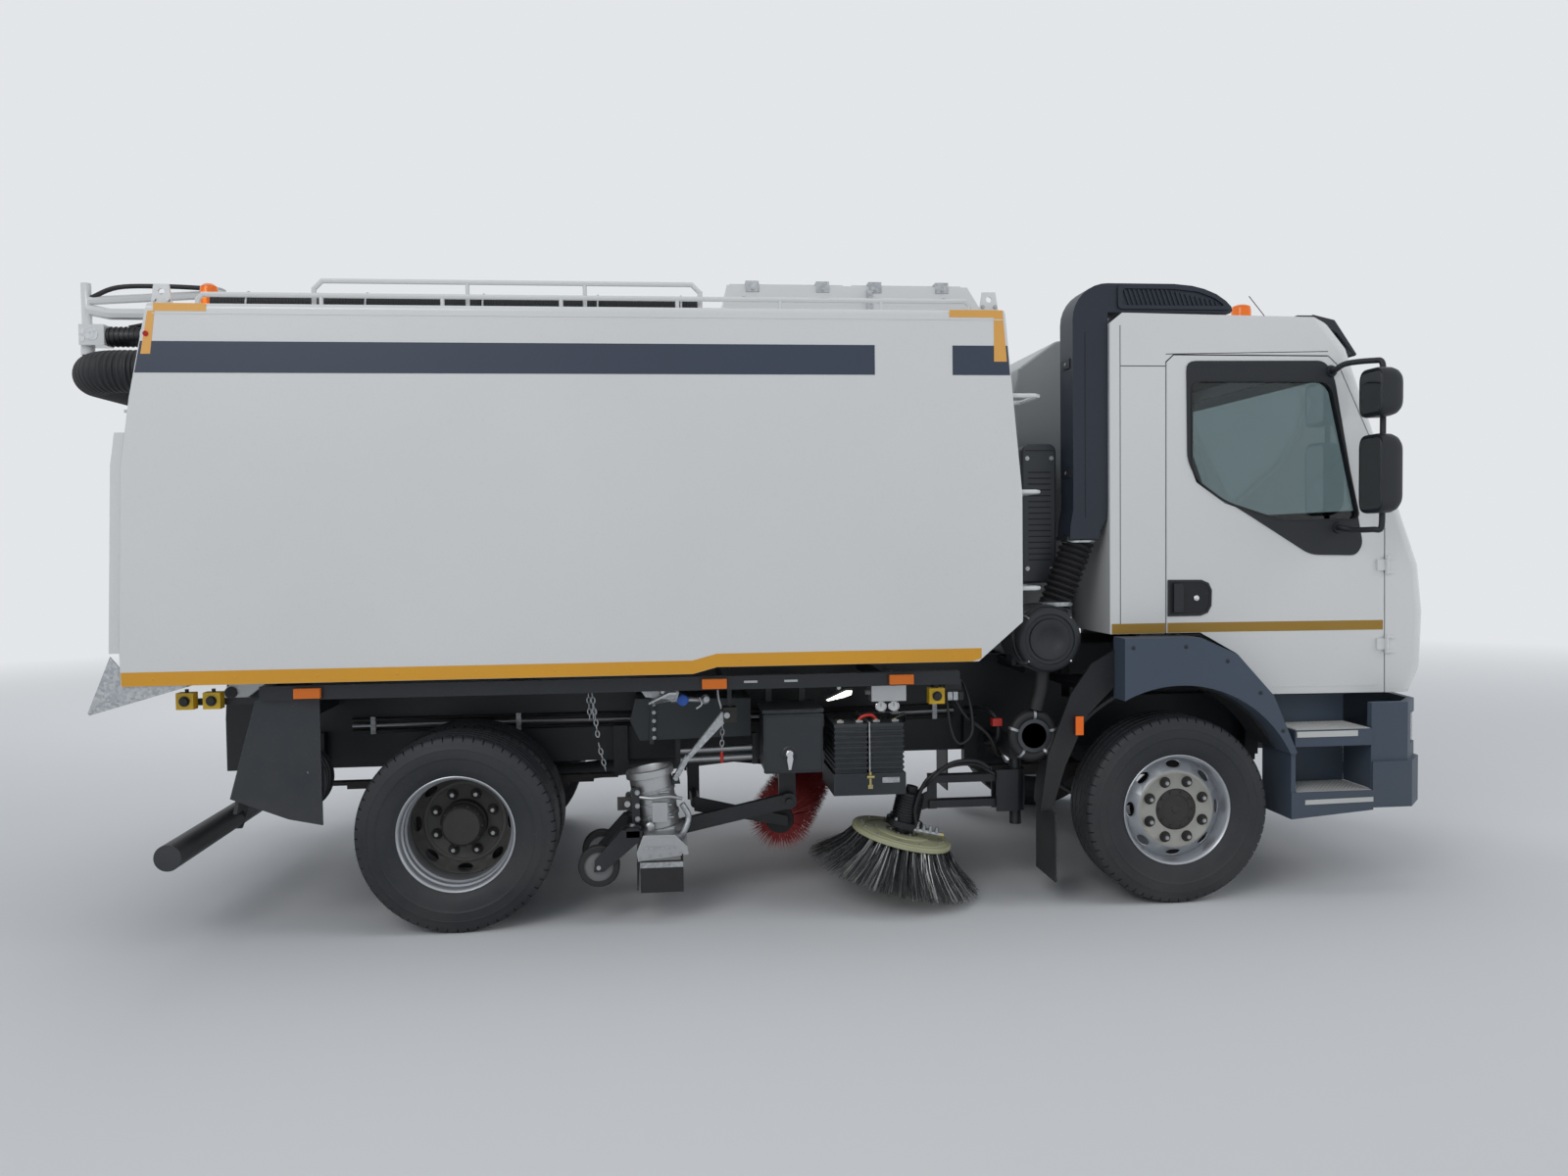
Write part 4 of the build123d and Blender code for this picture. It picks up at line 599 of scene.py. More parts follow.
# Finish, rounding of the edges as a share of the user's edge round, and the carried nodes without their side
carried = {
    "chassis_paint": {0.5: "chassis_frame brush_head",
        0.3: "hose_reel brush_bracket brush_upper_link brush_lower_link channel_frame", 0: "tip_barrel"},
    "cast_iron": {0.7: "front_axle rear_axle knuckle", 0: "tie_rod"},
    "engine_paint": {1: "powertrain"},
    "alloy": {0: "fuel_tank", 0.3: "suction_nozzle"},
    "cabinet_paint": {0.4: "side_boxes"},
    "moulded": {2: "front_bumper steps_and_flares"},
    "reflector": {0: "headlamps"},
    "liner_plastic": {0: "arch_liners"},
    "guard_paint": {0.3: "rear_guard"},
    "black_plastic": {1: "air_filter dashboard", 5: "mirror"},
    "cowl_paint": {2: "engine_cowl"},
    "cooler_paint": {2: "cooler_box"},
    "lamp_amber": {0.5: "lamps cab_beacon"},
    "wheel_paint": {0: "front_wheel rear_wheels"},
    "tyre_rubber": {0: "front_tyre rear_tyres"},
    "cab_paint": {1.5: "cab_shell", 1: "grille", 0.8: "door"},
    "window_glass": {0: "windscreen door_glass"},
    "seat_cloth": {1: "seats"},
    "visor_plastic": {1: "sun_visor"},
    "stack_plastic": {4: "intake_stack"},
    "hopper_paint": {0.8: "hopper_shell", 0: "hopper_rails boom_post", 0.6: "tailgate", 0.4: "boom"},
    "hose_rubber": {0: "wander_hose"},
    "galvanised": {0: "spill_chute"},
    "chrome": {0: "tip_rod"},
    # The brush disc's finish holds painted yellow lamp light
    "disc_with_painted_lamp_light": {0: "side_brush"},
    "seal_rubber": {0.5: "castors"},
    "red_plastic": {0: "channel_brush"}}


def make_nodes(context):
    """Finishes of the CAD nodes, and the round edges that the real sheet and mouldings have."""
    rounding = context.scene.sweeper_sizes.edge_round
    dress = {node: (label, share) for label, shares in carried.items() for share, nodes in shares.items()
        for node in nodes.split()}
    for name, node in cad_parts.items():
        label, share = dress[name.removesuffix("_right").removesuffix("_left")]
        if not node.material_slots:
            node.data.materials.append(finish(label))
        for slot in node.material_slots:
            slot.material = finish(label)
        if share:
            node.modifiers.new("joined", "WELD").merge_threshold = 0.00005
            flat = node.modifiers.new("flat", "DECIMATE")
            flat.decimate_type, flat.angle_limit = "DISSOLVE", radians(0.8)
            edge = node.modifiers.new("edges", "BEVEL")
            edge.width, edge.segments = rounding * share, 2
            edge.limit_method, edge.angle_limit = "ANGLE", radians(35)
            lit = node.modifiers.new("lit", "WEIGHTED_NORMAL")
            lit.keep_sharp, lit.weight = False, 80


# Tyres and wheels

tyre_half = 0.14
# Sidewall from the bead to the shoulder, with its thin rings: distance across and radius
sidewall = mm((105, 250), (115, 260), (116.5, 266), (121.5, 272), (129, 290), (134.2, 310), (137.2, 330),
    (138.8, 339), (139.9, 340.2), (139.9, 344), (138.8, 345.2), (138.6, 362), (137.2, 377), (138.4, 378.5),
    (137.8, 382), (136, 384), (132.5, 400), (128, 413))
grooves = (-0.075, -0.026, 0.026, 0.075)
slot_depth = 0.009


def tyre_columns(depth):
    """Columns across a tyre: distance, radius, sway of the zigzag, drop in a shoulder slot."""
    shoulder = [(0.1225, 0.4235, 0, 1), (0.117, 0.4305, 0, 1), (0.099, 0.435, 0, 1), (0.0975, 0.4351, 0, 0)]
    columns = [(-y, r, 0, 0) for y, r in sidewall] + [(-y, r, sway, drop) for y, r, sway, drop in shoulder]
    for place in grooves:
        top = tyre_radius - 0.0018 * (place / 0.1) ** 2
        columns += [(place - 0.0058, top, 1, 0), (place - 0.0036, top - depth, 1, 0),
            (place + 0.0036, top - depth, 1, 0), (place + 0.0058, top, 1, 0)]
    columns += [(y, r, sway, drop) for y, r, sway, drop in reversed(shoulder)]
    return columns + [(y, r, 0, 0) for y, r in reversed(sidewall)]


def add_tyre(form, centre, depth, pitches):
    """Adds one tyre about its middle plane."""
    columns = tyre_columns(depth)
    rows = []
    for pitch in range(pitches):
        for phase in (0.0, 0.09, 0.11, 0.53, 0.98):
            angle = 2 * pi * (pitch + phase) / pitches
            sway = 0.0042 * (1 - 4 * abs(phase - 0.5))
            cut = slot_depth if phase < 0.1 else 0
            rows.append([centre + Vector(((r - cut * drop) * cos(angle), y + sway * swings,
                (r - cut * drop) * sin(angle))) for y, r, swings, drop in columns])
    form.rings(rows, "tyre_rubber", closed=True)


def make_tyres(context):
    """Tyres with zigzag grooves, shoulder slots and rings on the sidewalls."""
    sizes = context.scene.sweeper_sizes
    for hand, _ in SIDES:
        for axle in ("front_tyre_", "rear_tyres_"):
            low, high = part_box(axle + hand)
            form = Form()
            for y in sorted({round(low.y + tyre_half, 4), round(high.y - tyre_half, 4)}):
                add_tyre(form, Vector(((low.x + high.x) / 2, y, tyre_radius)), sizes.tread_depth, sizes.tread_pitches)
            body = ("front_wheel_" if axle[0] == "f" else "rear_wheels_") + hand
            form.place(axle + hand + "_tread", body, "tyre_rubber", [axle + hand])


rim_profile = mm((250, -109), (250, 98), (254.5, 106), (258, 111), (257.8, 116), (254.5, 118), (247.5, 113),
    (242, 101))
wheel_holes = 8
disc_rim = 0.2345


def add_cone(form, centre, side, hub, rim, name, thickness=0.012):
    """Adds the cone of a wheel disc with its oval hand holes. hub and rim are (radius, distance out)."""
    half_wide, half_high = 0.034, 0.0155
    mean, half = (hub[0] + rim[0]) / 2, (rim[0] - hub[0]) / 2

    def face_point(angle, radius, back=0.0):
        out = hub[1] + (rim[1] - hub[1]) * (radius - hub[0]) / (rim[0] - hub[0]) - back
        return centre + Vector((radius * cos(angle), side * out, radius * sin(angle)))

    for turn in around(wheel_holes):
        rows = [[], [], [], []]
        for t in around(40):
            reach = max(abs(cos(t)), abs(sin(t)))
            rows[0].append(face_point(turn + cos(t) / reach * pi / wheel_holes, mean + sin(t) / reach * half))
            for row, grow, back in ((1, 1.16, 0.0), (2, 1.0, 0.003), (3, 1.0, thickness)):
                rows[row].append(face_point(turn + grow * cos(t) * half_wide / mean, mean + grow * sin(t) * half_high,
                    back))
        form.rings(rows, name, caps=False)


def add_nuts(form, centre, side, out, height, radius):
    """Adds the wheel nuts, each in its dark recess."""
    for turn in around(8, 0.5):
        foot = centre + Vector((0.1375 * cos(turn), side * out, 0.1375 * sin(turn)))
        way = Vector((0, side, 0))
        form.lathe(mm((26.2, -2), (26.2, 1.2), (24.5, 1.8), (23.5, 0.6)), foot, way, "cast_iron", 24)
        form.rod(foot, foot + way * height * 0.35, radius * 1.22, "cast_iron", 20, radius * 1.12)
        form.rod(foot, foot + way * height, radius, "cast_iron", 6, radius * 0.96)
        form.rod(foot + way * height, foot + way * (height + 0.004), radius * 0.6, BOLTS, 12, radius * 0.5)


def make_wheels(context):
    """Rims, pierced discs, nuts and hubs."""
    nut = context.scene.sweeper_sizes.nut_radius
    for hand, side in SIDES:
        way = Vector((0, side, 0))
        # Steered wheel: shallow disc whose face stands out
        low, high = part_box("front_tyre_" + hand)
        centre = (low + high) / 2
        form = Form()
        form.lathe([*rim_profile, (0.238, 0.08), (0.2335, 0.04), (0.2335, -0.109)], centre, way, "wheel_paint", 80,
            True)
        form.lathe(mm((97, 80), (97, 97), (167.5, 97), (169.5, 98.5), (171.5, 97.2), (173.5, 97.2), (175.5, 98.5),
            (181, 95.5), (181, 80)), centre, way, "wheel_face", 72, True)
        add_cone(form, centre, side, (0.181, 0.0955), (disc_rim, 0.043), "wheel_paint")
        form.lathe(mm((96, 0), (96, 88), (93.5, 94.5), (72, 98), (66, 97.5), (64, 94.5), (20, 94.5), (17, 98),
            (0, 98)), centre, way, "cast_iron", 48)
        for turn in around(10):
            form.bolt(centre + Vector((0.081 * cos(turn), side * 0.0962, 0.081 * sin(turn))), way, 0.0055, 0.006,
                "cast_iron")
        add_nuts(form, centre, side, 0.097, 0.026, nut)
        form.place("front_wheel_" + hand + "_disc", "front_wheel_" + hand, "rim_silver", ["front_wheel_" + hand])
        # Driven twin wheels: deep dish with the discs back to back at the middle
        low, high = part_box("rear_tyres_" + hand)
        outer = Vector(((low.x + high.x) / 2, (low.y if side < 0 else high.y) - side * tyre_half, tyre_radius))
        inner = Vector((outer.x, (high.y if side < 0 else low.y) + side * tyre_half, tyre_radius))
        clamp = (outer + inner) / 2
        form = Form()
        form.lathe([*rim_profile, (0.2418, 0.072), (0.2345, 0.064), (0.2342, 0.03), (0.2268, 0.021), (0.2265, -0.05),
            (0.2335, -0.062), (0.2335, -0.109)], outer, way, "wheel_paint", 80, True)
        form.lathe(mm((98, 0), (98, 12), (167.5, 12), (169.5, 13.5), (171.5, 12.2), (173.5, 12.2), (175.5, 13.5),
            (184, 13), (184, 0)), clamp, way, "disc_grey", 72, True)
        add_cone(form, clamp, side, (0.184, 0.013), (0.2305, 0.058), "disc_grey")
        form.lathe([*[(r, -y) for r, y in rim_profile], (0.2418, -0.072), (0.2345, -0.064), (0.2335, 0.109)], inner,
            way, "wheel_paint", 80, True)
        form.lathe(mm((98, 0), (184, 0), (234.5, -58), (234.5, -71), (182, -12), (98, -12)), clamp, way, "disc_grey",
            72, True)
        form.lathe(mm((104, -168), (104, 60), (103.5, 66), (98, 70), (98, 88), (94, 96), (88, 118), (80, 125),
            (0, 127)), clamp, way, "cast_iron", 48)
        for turn in around(10):
            form.bolt(clamp + Vector((0.088 * cos(turn), side * 0.108, 0.088 * sin(turn))), way, 0.0055, 0.009,
                "cast_iron")
        add_nuts(form, clamp, side, 0.012, 0.026, nut)
        form.place("rear_wheels_" + hand + "_disc", "rear_wheels_" + hand, "rim_silver", ["rear_wheels_" + hand])


# Hopper

hopper_wall_y = 1.2503
film = 0.0006


def strip(form, points, side, name, thick=film, y=hopper_wall_y):
    """Film or thin plate on a side wall: outline ahead of the rear axle and height."""
    form.slab(points, side * y, side * (y + thick), name)


def make_hopper_dress(context):
    """Stripe, band, corner tapes, seams, hatch fittings and beacon of the hopper."""
    sizes = context.scene.sweeper_sizes
    form = Form()
    low, high = sizes.stripe_low, sizes.stripe_low + sizes.stripe_height
    for _, side in SIDES:
        back_low, back_high = -1.262 + (low - 2.328) * 0.204, -1.262 + (high - 2.328) * 0.204
        front_low, front_high = 2.522 - (low - 1.9) * 0.094, 2.522 - (high - 1.9) * 0.094
        strip(form, [(back_low + 0.004, low), (1.859, low), (1.859, high), (back_high + 0.004, high)], side,
            "navy_film")
        strip(form, [(2.207, low), (front_low - 0.004, low), (front_high - 0.004, high), (2.207, high)], side,
            "navy_film")
        # Yellow band along the lower edge, stepped up over the front wheels' subframe
        band = sizes.band_height
        lower = mm((-1326, 1131), (1043, 1131), (1149, 1159), (2288, 1159), (2331, 1172))
        upper = [(2.331, 1.159 + band), (1.149, 1.159 + band), (1.043, 1.131 + band), (-1.328, 1.131 + band)]
        strip(form, lower + upper, side, "band_paint", 0.0012)
        for x in (-1.2, -0.87, -0.54, -0.21, 0.12, 0.45, 0.78, 1.25, 1.58, 1.91, 2.2):
            z = 1.16 if x < 1 else 1.188
            form.rod((x, side * 1.2514, z), (x, side * 1.2532, z), 0.0065, "band_paint", 12, 0.004)
        # Corner tapes
        for points in (rect(-1.155, -0.946, 2.684, 2.716), mm((-1210.5, 2507), (-1172, 2507), (-1150, 2684),
                (-1178, 2684)), rect(2.194, 2.395, 2.684, 2.716), mm((2395, 2490), (2453.5, 2490), (2434, 2716),
                (2395, 2716))):
            strip(form, points, side, "corner_tape", 2 * film)
        # Folded seam along the roof
        strip(form, rect(-1.16, 2.44, 2.672, 2.676), side, "hopper_paint", 0.002)
        # Small red reflector on the rear post
        form.rod((-1.187, side * 1.2503, 2.59), (-1.187, side * 1.256, 2.59), 0.011, "lamp_red", 16)
        # Lifting eyes
        for x in (-1.132, 2.38):
            for bolt_x in (-0.028, 0.028):
                form.bolt((x + bolt_x, side * 1.2243, 2.735), (0, side, 0), 0.007, 0.008)
    form.place("hopper_markings", "hopper")
    form = Form()
    hatch_low, hatch_high = 2.722, 2.861
    for _, side in SIDES:
        # Hatch lids with hinges, handles and clamps on the raised box
        for x0, x1 in ((1.24, 1.76), (1.8, 2.31)):
            form.block((x0, x1), (side * 0.03, side * 1.0), (hatch_high, hatch_high + 0.012), "hopper_paint")
            for x in (x0 + 0.1, x1 - 0.1):
                form.block(about(x, 0.03), (side * 0.985, side * 1.046), (hatch_high - 0.03, hatch_high + 0.018),
                    ZINC)
                form.bolt((x, side * 1.046, hatch_high - 0.018), (0, side, 0), 0.006, 0.007)
            form.tube([(x0 + 0.2, side * 0.85, hatch_high + 0.012), (x0 + 0.2, side * 0.85, hatch_high + 0.035),
                (x0 + 0.32, side * 0.85, hatch_high + 0.035), (x0 + 0.32, side * 0.85, hatch_high + 0.012)], 0.006,
                "hopper_paint", 8)
        form.block((1.86, 1.885), (side * 1.04, side * 1.052), (hatch_low + 0.03, hatch_high - 0.02), ZINC)
        for x in (1.3, 2.22):
            form.bolt((x, side * 1.0405, 2.8), (0, side, 0), 0.008, 0.009)
    form.place("hopper_hatches", "hopper", "hopper_white", bevel=0.002)
    form = Form()
    for _, side in SIDES:
        foot = at(-1.02, side * 1.0, 2.7205)
        form.lathe(mm((45, 0), (45, 18), (38, 24), (30, 26)), foot, UP, BLACK, 28)
        form.lathe(mm((36, 24), (37.5, 40), (37.5, 95), (34, 116), (20, 127), (0, 129)), foot, UP, "lamp_amber", 28)
    form.place("hopper_beacons", "hopper", "lamp_amber")


# Hoses at the back and on the roof

hose_port = (-1.268, -0.9, 2.484)
hose_radius = 0.094


def along(points, step, bend=6):
    """Places every step along a smooth line."""
    line = smooth_line([spot(p) for p in points], bend)
    places, left = [line[0]], step
    for a, b in zip(line, line[1:]):
        length = (b - a).length
        while left < length:
            places.append(a + (b - a) * left / length)
            left += step
        left -= length
    return places


def ribbed_hose(form, points, radius, pitch, depth, name, sides=28):
    """Hose with a helix-like row of ribs."""
    places = along(points, pitch / 4)
    rounds = [1.0, 1.0, 1 - depth, 1 - depth]
    count = len(places)
    form.tube(places, lambda share: radius * rounds[int(round(share * (count - 1))) % 4], name, sides, 1)


def make_hoses(context):
    """Wander hose across the back with its suction tube, and the spare hose clipped along the roof."""
    form = Form()
    x, z, turn = -1.605, hose_port[2], 0.19
    corner = [at(x + turn * (1 - sin(a)), hose_port[1] + turn * (1 - cos(a)), z)
        for a in (0.0, 0.39, 0.785, 1.18, 1.571)]
    route = [at(-1.275, hose_port[1], z), at(-1.36, hose_port[1], z), *corner, at(x, -0.4, z), at(x, 0, z),
        at(x, 0.48, z)]
    ribbed_hose(form, route, hose_radius - 0.0005, 0.022, 0.07, "hose_rubber", 36)
    form.lathe(mm((0, 0), (80, 0), (80, 50), (86, 52), (86, 85), (80, 87), (79, 420), (93.5, 425), (93.5, 455),
        (70, 460), (68, 300), (0, 300)), (x, 0.478, z), LEFT, "hose_rubber", 36)
    for y in (0.36, 0.6):
        form.band((0.094, 0.008), (0.0948, 0.006), (x, y, z), LEFT, ZINC, 36)
    form.band((0.0952, 0.006), (0.112, 0.006), (-1.282, hose_port[1], z), (1, 0, 0), ZINC, 40, True)
    for angle in around(6):
        form.bolt((-1.288, hose_port[1] + 0.103 * cos(angle), z + 0.103 * sin(angle)), BACK, 0.006, 0.006)
    roof = hopper_roof + 0.044
    ribbed_hose(form, [(-1.0, -1.01, roof), (-0.6, -1.012, roof), (0.2, -1.01, roof), (0.7, -1.006, roof),
        (1.1, -1.0, roof)], 0.043, 0.014, 0.07, "hose_rubber", 20)
    for x in (-0.85, -0.35, 0.15, 0.65, 1.02):
        arch = [at(x, -1.01 - 0.052 * cos(a), hopper_roof + 0.003 + 0.09 * sin(a))
            for a in (0.0, 0.45, 0.9, 1.57, 2.24, 2.69, 3.14)]
        form.tube(arch, 0.005, ZINC, 8, 3)
        for y in (-1.075, -0.945):
            form.block(about(x, 0.012), (y, y + (0.02 if y < -1.01 else -0.02)),
                (hopper_roof + 0.0005, hopper_roof + 0.005), ZINC)
    form.place("hoses", "hopper", "hose_rubber", ["wander_hose"])


# Cab

door_edge = mm((3275, 1252), (3440, 1252), (3620, 1150), (3745, 952), (4362, 947), (4358, 1731), (4275, 2180),
    (4125, 2500), (4070, 2550), (3310, 2552), (3275, 2520))
window_edge = [(3.39, 2.44), (4.05, 2.44), (4.095, 2.4), (4.232, 1.8), (4.215, 1.772), (3.83, 1.772), (3.56, 1.86),
    (3.42, 1.96), (3.39, 2.04)]


def grown(points, out):
    """Outline moved outward by a distance, or inward by a negative one. The points run either way round."""
    n = len(points)
    area = sum(points[i][0] * points[(i + 1) % n][1] - points[(i + 1) % n][0] * points[i][1] for i in range(n))
    out = out if area > 0 else -out
    moved = []
    for i in range(n):
        before, corner, after = (Vector(points[j % n]) for j in (i - 1, i, i + 1))
        first, second = (corner - before).normalized(), (after - corner).normalized()
        normal = (Vector((first.y, -first.x)) + Vector((second.y, -second.x))).normalized()
        moved.append(tuple(corner + normal * out / max(0.4, normal.dot(Vector((first.y, -first.x))))))
    return moved


def rounded(points, radius, steps=4):
    """Outline with its corners rounded, each into as many points."""
    n, smooth = len(points), []
    for i in range(n):
        before, corner, after = (Vector(points[j % n]) for j in (i - 1, i, i + 1))
        cut = min(radius, (before - corner).length * 0.45, (after - corner).length * 0.45)
        start, end = (corner + (way - corner).normalized() * cut for way in (before, after))
        smooth += [tuple(start.lerp(corner, t).lerp(corner.lerp(end, t), t)) for t in (k / steps
            for k in range(steps + 1))]
    return smooth


def add_ring(form, outer, inner, side, y0, y1, y_in, name):
    """Plate between two outlines of as many points, with a lip that goes in to y_in."""
    form.rings([[at(x, side * y, z) for x, z in points] for points, y in ((outer, y0), (outer, y1), (inner, y1),
        (inner, y_in))], name, closed=True)


def make_doors(context):
    """Window surround, handle, stripe, seals and inner lining of both doors."""
    surround = mm((3369, 2526), (4053, 2530), (4100, 2455), (4248, 1660), (4215, 1607), (3985, 1612), (3700, 1790),
        (3430, 1955), (3375, 2060))
    outer, inner = rounded(surround, 0.045), rounded(grown(window_edge, -0.01), 0.045)
    for hand, side in SIDES:
        door = Form()
        add_ring(door, outer, inner, side, cab_side + 0.0003, cab_side + 0.005, cab_side - 0.03, BLACK)
        add_ring(door, rounded(grown(window_edge, -0.003), 0.05), inner, side, cab_side + 0.0052, cab_side + 0.008,
            cab_side + 0.0052, "seal_rubber")
        # Handle: dark recessed tray with an upright lever and its lock
        tray = mm((3279, 1331), (3440, 1331), (3476, 1345), (3494, 1378), (3496, 1452), (3480, 1486), (3445, 1501),
            (3279, 1503))
        add_ring(door, tray, grown(tray, -0.01), side, cab_side + 0.0003, cab_side + 0.004, cab_side + 0.0003, BLACK)
        door.slab(grown(tray, -0.008), side * (cab_side + 0.0002), side * (cab_side + 0.0012), "liner_plastic")
        door.slab(mm((3305, 1350), (3345, 1350), (3352, 1365), (3352, 1470), (3345, 1485), (3305, 1485)),
            side * (cab_side + 0.001), side * (cab_side + 0.016), BLACK)
        door.lathe(mm((13, 0), (13, 4), (10, 6), (0, 6)), (3.42, side * (cab_side + 0.001), 1.415), (0, side, 0),
            "chrome", 20)
        strip(door, [(3.279, 1.254), (3.4365, 1.254), (3.356, 1.3), (3.279, 1.3)], side, "gold_film",
            y=cab_side + 0.0002)
        strip(door, mm((3436.5, 1254), (4355, 1249), (4355, 1295), (3356, 1300)), side, "gold_film",
            y=cab_side + 0.0002)
        # Soft press line along the lower door
        strip(door, mm((3800, 985), (4335, 981), (4335, 986), (3800, 990)), side, "cab_paint", 0.0015, cab_side)
        # Inner lining with its armrest
        panel = mm((3295, 1275), (3450, 1275), (3640, 1165), (3765, 975), (4335, 970), (4335, 1745), (3825, 1750),
            (3545, 1840), (3395, 1945), (3375, 2040), (3375, 2455), (4060, 2456), (4060, 2525), (3310, 2530),
            (3295, 2510))
        door.slab(panel, side * (cab_side - 0.056), side * (cab_side - 0.0425), "lining")
        door.block((3.5, 3.95), (side * (cab_side - 0.1), side * (cab_side - 0.056)), (1.5, 1.56), BLACK)
        door.place("door_dress_" + hand, "door_" + hand, "cab_white")
        seal = Form()
        seal.tube([at(x, side * (cab_side - 0.016), z) for x, z in [*grown(door_edge, 0.003),
            grown(door_edge, 0.003)[0]]], 0.0042, "seal_rubber", 6, 1)
        strip(seal, rect(3.008, 3.268, 1.2535, 1.3), side, "gold_film", y=cab_side + 0.0002)
        # Panel lines above the door and down the rear corner
        for outline in (rect(3.052, 3.27, 2.5, 2.504), rect(3.048, 3.0515, 1.256, 2.69),
                [(3.27, 2.556), (4.07, 2.572), (4.07, 2.5755), (3.27, 2.5595)]):
            strip(seal, outline, side, "seal_rubber", 0.0004, cab_side + 0.0001)
        seal.place("door_seal_" + hand, "cab", "cab_white")


def make_cab_inside(context):
    """Dark lining, padded seats on their frames, and instruments."""
    form = Form()
    form.block((3.0425, 3.056), (-1.01, 1.01), (1.296, 2.66), "lining")
    form.slab(mm((3050, 2700), (3050, 2684), (3970, 2668), (4088, 2624), (4130, 2575), (4140, 2590), (4098, 2640),
        (3980, 2684)), -1.01, 1.01, "lining")
    form.block((3.056, 3.44), (-1.01, 1.01), (1.2945, 1.302), "liner_plastic")
    for _, side in SIDES:
        form.block((3.056, 3.262), (side * 1.005, side * 1.0175), (1.3, 2.68), "lining")
        form.block((3.262, 4.06), (side * 1.005, side * 1.0175), (2.562, 2.66), "lining")
        # Pillar beside the windscreen
        form.slab([(4.085, 2.56), (4.13, 2.56), (4.455, 1.66), (4.41, 1.66)], side * 0.955, side * 1.012, "lining")
    # Engine tunnel cover
    form.block((3.42, 4.24), (-0.448, 0.448), (1.2775, 1.292), "lining")
    form.place("cab_lining", "cab", "trim_black", bevel=0.002)
    for hand, side in SIDES:
        low, high = sorted((side * 0.44, side * 0.91))
        parts = {"cushion": (mm((3385, 1445), (3385, 1545), (3830, 1560), (3860, 1520), (3860, 1445)), low, high),
            "back": ([(3.345, 1.5), (3.425, 1.5), (3.372, 2.13), (3.285, 2.14)], low + 0.015, high - 0.015),
            "headrest": (mm((3277, 2160), (3352, 2150), (3336, 2315), (3272, 2325)), side * 0.675 - 0.11,
            side * 0.675 + 0.11)}
        for part, (outline, y0, y1) in parts.items():
            pad = Form()
            pad.slab(outline, y0, y1, "seat_cloth")
            pad.place(f"seat_{part}_{hand}", "cab", "seat_cloth", bevel=0.03, segments=4, smooth=80)
            if part == "back":
                bolster = Form()
                for y in (y0 + 0.03, y1 - 0.03):
                    bolster.tube([(3.44, y, 1.62), (3.418, y, 1.85), (3.392, y, 2.07)], 0.032, "seat_cloth", 12, 3)
                bolster.place(f"seat_bolsters_{hand}", "cab", "seat_cloth")
    frames = Form()
    for _, side in SIDES:
        low, high = sorted((side * 0.47, side * 0.88))
        frames.block((3.4, 3.84), (low, high), (1.2955, 1.44), BLACK)
        for y in about(side * 0.675, 0.05):
            frames.rod((3.325, y, 2.12), (3.312, y, 2.18), 0.007, "chrome", 10)
        frames.tube([(3.07, side * 0.98, 2.35), (3.1, side * 0.97, 1.9), (3.2, side * 0.95, 1.46)], 0.012,
            "cable_black", 6)
    frames.place("seat_frames", "cab", "trim_black", ["seats"], bevel=0.006)
    desk = Form()
    desk.slab([(4.215, 1.66), (4.235, 1.72), (4.33, 1.735), (4.4, 1.68), (4.33, 1.655)], 0.42, 0.9, BLACK)
    desk.block((4.226, 4.238), (0.47, 0.85), (1.6, 1.7), "visor_plastic")
    for y in (0.55, 0.77):
        desk.lathe(mm((45, 0), (48, 6), (43, 7)), (4.2265, y, 1.652), BACK, "chrome", 28)
    for y in (-0.88, -0.45, 0.3, -0.1):
        desk.block((4.23, 4.242), about(y, 0.06), (1.53, 1.585), "visor_plastic")
    desk.tube([(4.13, 0.6, 1.65), (4.14, 0.48, 1.68), (4.15, 0.4, 1.7)], 0.008, BLACK, 8)
    desk.place("instruments", "cab", "trim_black", bevel=0.004)


def screen_x(z):
    """Outer face of the windscreen at a height."""
    return 4.51 - (z - 1.7) * 0.325 / 0.9


